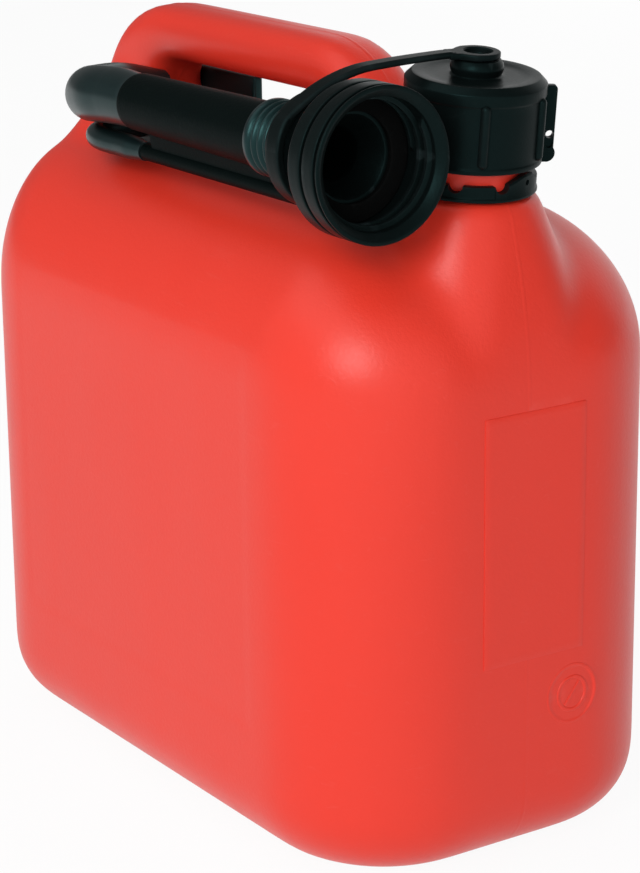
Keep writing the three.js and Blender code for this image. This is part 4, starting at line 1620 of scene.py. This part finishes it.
@dataclass
class PouringSpout:
    """The stowed spout: threaded collar, gasket, flexible neck, pouring tube and air tube."""

    ridges: int = 2
    groove: float = 1.3
    groove_width: float = 1.3
    shoulder: float = 4.5
    shoulder_drop: float = 3.2
    lip: float = 0.9
    mouth_lip: float = 1.3
    mouth_flare: float = 2.0
    root_radius: float = 12.4
    turns: float = 2.1
    folds: int = 3
    fold_depth: float = 1.7
    rear_fold: float = 3.6
    web: float = 2.4
    web_setback: float = 2.0
    web_foot: float = 0.6
    web_head: float = 0.5
    throat: float = 6.0

    def _collar(self) -> bpy.types.Object:
        """The collar with its ridged cup and its inner thread."""
        bore = LAYOUT.tube_front_radius - LAYOUT.tube_wall
        outer, inner = LAYOUT.collar_radius, LAYOUT.cap_bore
        flange, mouth, root = LAYOUT.flange_x, LAYOUT.mouth_x, self.root_radius
        shoulder = flange + self.shoulder
        pitch = (mouth - self.lip - shoulder) / self.ridges
        seat_low = LAYOUT.strap_x - LAYOUT.strap_seat_length / 2
        seat_high = seat_low + LAYOUT.strap_seat_length
        pairs = [
            (bore, LAYOUT.collar_rear_x), (root, LAYOUT.collar_rear_x), (root, seat_low),
            (LAYOUT.strap_seat, seat_low), (LAYOUT.strap_seat, seat_high), (root, seat_high),
            (root + 1, flange), (outer - self.shoulder_drop, flange),
        ]
        for index in range(self.ridges):
            low = shoulder + index * pitch
            high = low + pitch - self.groove_width
            deep = outer - self.groove
            pairs += [(outer, low), (outer, high), (deep, high), (deep, low + pitch)]
        pairs += [
            (outer, mouth - self.lip), (outer, mouth), (outer - self.mouth_lip, mouth),
            (inner, mouth - self.mouth_flare), (inner, flange + LAYOUT.collar_flange),
            (root, flange + LAYOUT.collar_flange), (bore, flange - self.throat),
        ]
        collar = Form().turned(pairs, Axis.LENGTHWISE, LAYOUT.spout_axis, 128).soften(0.3, 3, 24.0)
        begin = flange + LAYOUT.collar_flange + LAYOUT.gasket_thickness + LAYOUT.thread_width
        thread = Form().ridge(
            inner + LAYOUT.seat_gap, LAYOUT.neck_radius + LAYOUT.crest_gap, begin, self.turns,
            Axis.LENGTHWISE, LAYOUT.spout_axis,
        )
        made = join(collar.piece("pour_collar"), Joinery.ADD, thread.piece("collar_thread"))
        return dress(made, BLACK_SATIN.material(), Slot.BLACK, "spout_collar")

    def _gasket(self) -> bpy.types.Object:
        """The flat ring inside the collar."""
        low = LAYOUT.flange_x + LAYOUT.collar_flange
        high = low + LAYOUT.gasket_thickness
        bore, outer = self.root_radius + 1, LAYOUT.cap_bore - LAYOUT.seat_gap
        ring = Form().turned(hollow(bore, outer, low, high), Axis.LENGTHWISE, LAYOUT.spout_axis).soften(0.3)
        return dress(ring.piece("collar_seal"), SEAL_RUBBER.material(), Slot.RUBBER, "spout_gasket")

    def _flexible_neck(self) -> bpy.types.Object:
        """The ribbed flexible neck."""
        low, high = LAYOUT.bellows_rear_x, LAYOUT.collar_rear_x
        radius = LAYOUT.tube_front_radius
        bore = radius - LAYOUT.tube_wall
        deep = radius + self.fold_depth
        start = low + self.rear_fold
        pairs = [(bore, low), (radius, low), (deep - 0.7, low + 0.1), (deep, low + 0.6), (deep, start - 1.3),
                 (deep - 0.7, start - 0.7)]
        steps = self.folds * 12
        for step in range(steps + 1):
            wave = 0.5 - 0.5 * math.cos(TURN * self.folds * step / steps)
            pairs.append((radius + self.fold_depth * wave ** 0.7, start + (high - start) * step / steps))
        pairs.append((bore, high))
        neck = Form().turned(pairs, Axis.LENGTHWISE, LAYOUT.spout_axis, 80)
        made = neck.piece("flexible_neck")
        return dress(made, BLACK_GLOSS.material(), Slot.BLACK, "spout_bellows", sharp=60.0)

    def _tube(self) -> bpy.types.Object:
        """The tapered pouring tube."""
        rear, front = LAYOUT.tube_rear_x, LAYOUT.bellows_rear_x
        wall = LAYOUT.tube_wall
        thin, thick = LAYOUT.tube_rear_radius, LAYOUT.tube_front_radius
        pairs = [(thin - wall, rear), (thin, rear), (thick, front), (thick - wall, front)]
        tube = Form().turned(pairs, Axis.LENGTHWISE, LAYOUT.spout_axis, 96).soften(0.5, 3)
        return dress(tube.piece("pouring_tube"), BLACK_GRAINED.material(), Slot.BLACK, "spout_tube")

    def _air_tube(self) -> bpy.types.Object:
        """The thin air tube."""
        bore, radius = LAYOUT.vent_bore, LAYOUT.vent_radius
        pairs = hollow(bore, radius, LAYOUT.vent_rear_x, LAYOUT.flange_x)
        tube = Form().turned(pairs, Axis.LENGTHWISE, LAYOUT.vent_axis, 48).soften(0.3).piece("air_tube")
        offset = (LAYOUT.vent_axis - LAYOUT.spout_axis).length
        foot, head = radius - self.web_foot - offset, self.web_head - LAYOUT.tube_rear_radius
        low = Vector((LAYOUT.tube_rear_x + self.web_setback, -self.web / 2, foot))
        high = Vector((LAYOUT.bellows_rear_x - self.web_setback, self.web / 2, head))
        web = Form().block(low, high).soften(0.4).roll(LAYOUT.vent_angle, LAYOUT.spout_axis)
        join(tube, Joinery.ADD, web.piece("web"))
        return dress(tube, BLACK_GRAINED.material(), Slot.BLACK, "vent_tube")

    def build(self) -> list[bpy.types.Object]:
        """Builds and dresses the spout's pieces.

        Returns:
            The finished pieces.
        """
        made = [self._collar(), self._gasket(), self._flexible_neck(), self._tube(), self._air_tube()]
        return [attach(piece, Body.SPOUT.value) for piece in made]


@dataclass
class SpoutRest:
    """The holder in the handle's opening, with two elbows whose spigots carry the spout's tubes."""

    spigot: float = 12.0
    vent_spigot: float = 9.0
    bend: float = 20.0
    drop: float = 8.0
    clear: float = 2.2
    vent_radius: float = 4.0
    bridge: float = 30.0
    bridge_height: float = 8.0
    plate: float = 3.6
    post_depth: float = 7.0
    plate_height: float = 22.5
    ear_reach: float = 6.4
    ear_height: float = 4.2
    ear_foot_reach: float = 9.0
    ear_foot_height: float = 13.0
    ear_root: float = 3.0
    spigot_root: float = 4.0
    taper: float = 0.5
    taper_share: float = 0.2
    vent_taper: float = 0.9
    vent_taper_share: float = 0.12
    vent_bend: float = 0.7

    def _elbow(self, end: Vector, bend: float, drop: float, inner: float) -> list[Vector]:
        """The route of an elbow from a tube's end round to the handle.

        Args:
            end: Where it starts.
            bend: The size of its bend.
            drop: How far it falls.
            inner: Where it ends across the can.

        Returns:
            The points of its middle line.
        """
        across = LAYOUT.opening_rear_x + LAYOUT.seat_gap + LAYOUT.tube_rear_radius + self.clear
        turn = across + bend
        x, y, z = end
        route = [(x, y, z), ((x + turn) / 2, y, z), (turn, y, z - 0.12 * drop),
                 (turn - 0.7 * bend, y + 0.3 * bend, z - 0.4 * drop), (across, y + bend, z - 0.55 * drop),
                 (across, inner, z - drop)]
        return curve_points([Vector(point) for point in route], 10)

    def _narrowed(self, radius: float, taper: float, share: float) -> Callable[[float], float]:
        """The radius of an elbow that is thinner at its tube's end.

        Args:
            radius: Its full radius.
            taper: How much thinner its first end is.
            share: The share of its length over which it grows.

        Returns:
            The radius at each share of its length.
        """
        return lambda along: radius - taper * max(0.0, 1 - along / share)

    def build(self) -> bpy.types.Object:
        """Builds and dresses the holder.

        Returns:
            The finished piece.
        """
        near_side = -LAYOUT.handle_width / 2 - 1
        floor = LAYOUT.tank_height + LAYOUT.seat_gap
        spout, vent = LAYOUT.spout_axis, LAYOUT.vent_axis
        pour_x, vent_x = LAYOUT.tube_rear_x - LAYOUT.seat_gap, LAYOUT.vent_rear_x - LAYOUT.seat_gap
        rear = LAYOUT.opening_rear_x + LAYOUT.seat_gap
        near = near_side - self.post_depth
        far = LAYOUT.handle_width / 2 + LAYOUT.seat_gap
        far_side = far + self.plate
        thick = LAYOUT.tube_rear_radius
        top = floor + self.plate_height
        pour = self._elbow(Vector((pour_x, spout.y, spout.z)), self.bend, self.drop, near_side)
        rest = Form().bar(self._narrowed(thick, self.taper, self.taper_share), pour).piece("spout_rest")
        air = self._elbow(Vector((vent_x, vent.y, vent.z)), self.bend * self.vent_bend, 0.0, near_side)
        parts = [
            Form().bar(self._narrowed(self.vent_radius, self.vent_taper, self.vent_taper_share), air),
            Form().rod(thick - LAYOUT.tube_wall - LAYOUT.seat_gap,
                       Vector((pour_x - self.spigot_root, spout.y, spout.z)),
                       Vector((LAYOUT.tube_rear_x + self.spigot, spout.y, spout.z))),
            Form().rod(LAYOUT.vent_bore - LAYOUT.seat_gap,
                       Vector((vent_x - self.spigot_root, vent.y, vent.z)),
                       Vector((LAYOUT.vent_rear_x + self.vent_spigot, vent.y, vent.z)), 16),
        ]
        bridge, ear = rear + self.bridge, rear + self.ear_root
        blocks = (
            ((rear, near, floor), (rear + 2 * thick, near_side + self.plate, spout.z - self.drop), 1.6, 4),
            ((rear, near, floor), (bridge, far_side, floor + self.bridge_height), 1.2, 3),
            ((rear, far, floor), (bridge, far_side, top), 0.8, 3),
            ((rear - self.ear_reach, far, top - self.ear_height), (ear, far_side, top), 0.8, 3),
            ((rear - self.ear_foot_reach, far, top - self.ear_foot_height), (ear, far_side, top - 1), 0.8, 3),
        )
        for low, high, edge, segments in blocks:
            parts.append(Form().block(Vector(low), Vector(high)).soften(edge, segments))
        join(rest, Joinery.ADD, *[part.piece("rest_part") for part in parts])
        dress(rest, BLACK_GLOSS.material(), Slot.BLACK, "spout_holder")
        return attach(rest, Body.CAN.value)


@dataclass
class Studio:
    """The floor, the light and the camera."""

    focal_pixels: float = 2727.6
    picture_height: float = 873.0
    sensor: float = 36.0
    camera_place: tuple[float, float, float] = (0.73472, -0.48398, 0.3721)
    camera_right: tuple[float, float, float] = (0.5574, 0.8302, -0.0106)
    camera_up: tuple[float, float, float] = (-0.2315, 0.1677, 0.9583)
    camera_back: tuple[float, float, float] = (0.7973, -0.5317, 0.2857)
    aim: tuple[float, float, float] = (0.0, 0.0, 0.12)
    clip_end: float = 20.0
    floor_half: float = 9.0
    floor_cells: int = 8
    ambient: float = 0.2
    lamps: tuple[tuple[str, tuple[float, float, float], float, float], ...] = (
        ("key_light", (0.9, -1.27, 0.84), 0.8, 15.0),
        ("near_light", (-0.5, -1.55, 0.65), 2.2, 5.5),
        ("top_light", (-0.15, -0.75, 1.6), 1.8, 8.0),
        ("front_light", (1.5, -0.3, 0.35), 1.8, 6.0),
        ("far_light", (-0.7, 1.6, 0.6), 2.4, 13.0),
    )

    def _camera(self) -> None:
        """Places the camera at the photograph's angle."""
        lens = bpy.data.cameras.new("camera")
        lens.sensor_fit = "VERTICAL"
        lens.sensor_height = self.sensor
        lens.lens = self.focal_pixels / self.picture_height * self.sensor
        lens.clip_end = self.clip_end
        camera = bpy.data.objects.new("camera", lens)
        columns = (self.camera_right, self.camera_up, self.camera_back)
        turn = Matrix(columns).transposed().to_4x4()
        camera.matrix_world = Matrix.Translation(self.camera_place) @ turn
        bpy.context.scene.collection.objects.link(camera)
        bpy.context.scene.camera = camera

    def _lamps(self) -> None:
        """Hangs the soft lamps."""
        for name, place, size, power in self.lamps:
            lamp = bpy.data.lights.new(name, "AREA")
            lamp.shape = "DISK"
            lamp.size = size
            lamp.energy = power
            hung = bpy.data.objects.new(name, lamp)
            hung.location = place
            hung.rotation_euler = (Vector(self.aim) - Vector(place)).to_track_quat("-Z", "Y").to_euler()
            bpy.context.scene.collection.objects.link(hung)

    def _world(self) -> None:
        """Sets the even light all round."""
        world = bpy.data.worlds.new("studio_world")
        world.use_nodes = True
        tree = world.node_tree
        tree.nodes.clear()
        even = tree.nodes.new("ShaderNodeBackground")
        even.inputs["Color"].default_value = (1.0, 1.0, 1.0, 1.0)
        even.inputs["Strength"].default_value = self.ambient
        out = tree.nodes.new("ShaderNodeOutputWorld")
        tree.links.new(even.outputs[0], out.inputs["Surface"])
        bpy.context.scene.world = world

    def _floor(self) -> None:
        """Lays the pale floor."""
        laid = bmesh.new()
        cells = self.floor_cells
        bmesh.ops.create_grid(laid, x_segments=cells, y_segments=cells, size=self.floor_half)
        mesh = bpy.data.meshes.new("floor")
        laid.to_mesh(mesh)
        laid.free()
        mesh.materials.append(PaleFloor().material())
        floor = bpy.data.objects.new("floor", mesh)
        bpy.context.scene.collection.objects.link(floor)

    def build(self) -> None:
        """Sets up everything around the can."""
        self._camera()
        self._lamps()
        self._world()
        self._floor()
        bpy.context.scene.view_settings.view_transform = "Standard"


def main() -> None:
    """Builds the can's assemblies in order."""
    logging.basicConfig(level=logging.INFO, format="%(name)s %(message)s")
    Studio().build()
    for assembly in (Tank(), NeckRing(), SpoutRest(), ScrewCap(), PouringSpout(), TetherStrap()):
        made = assembly.build()
        names = [piece.name for piece in (made if isinstance(made, list) else [made])]
        log.info("%s: %s", type(assembly).__name__, ", ".join(names))


if __name__ == "__main__":
    main()
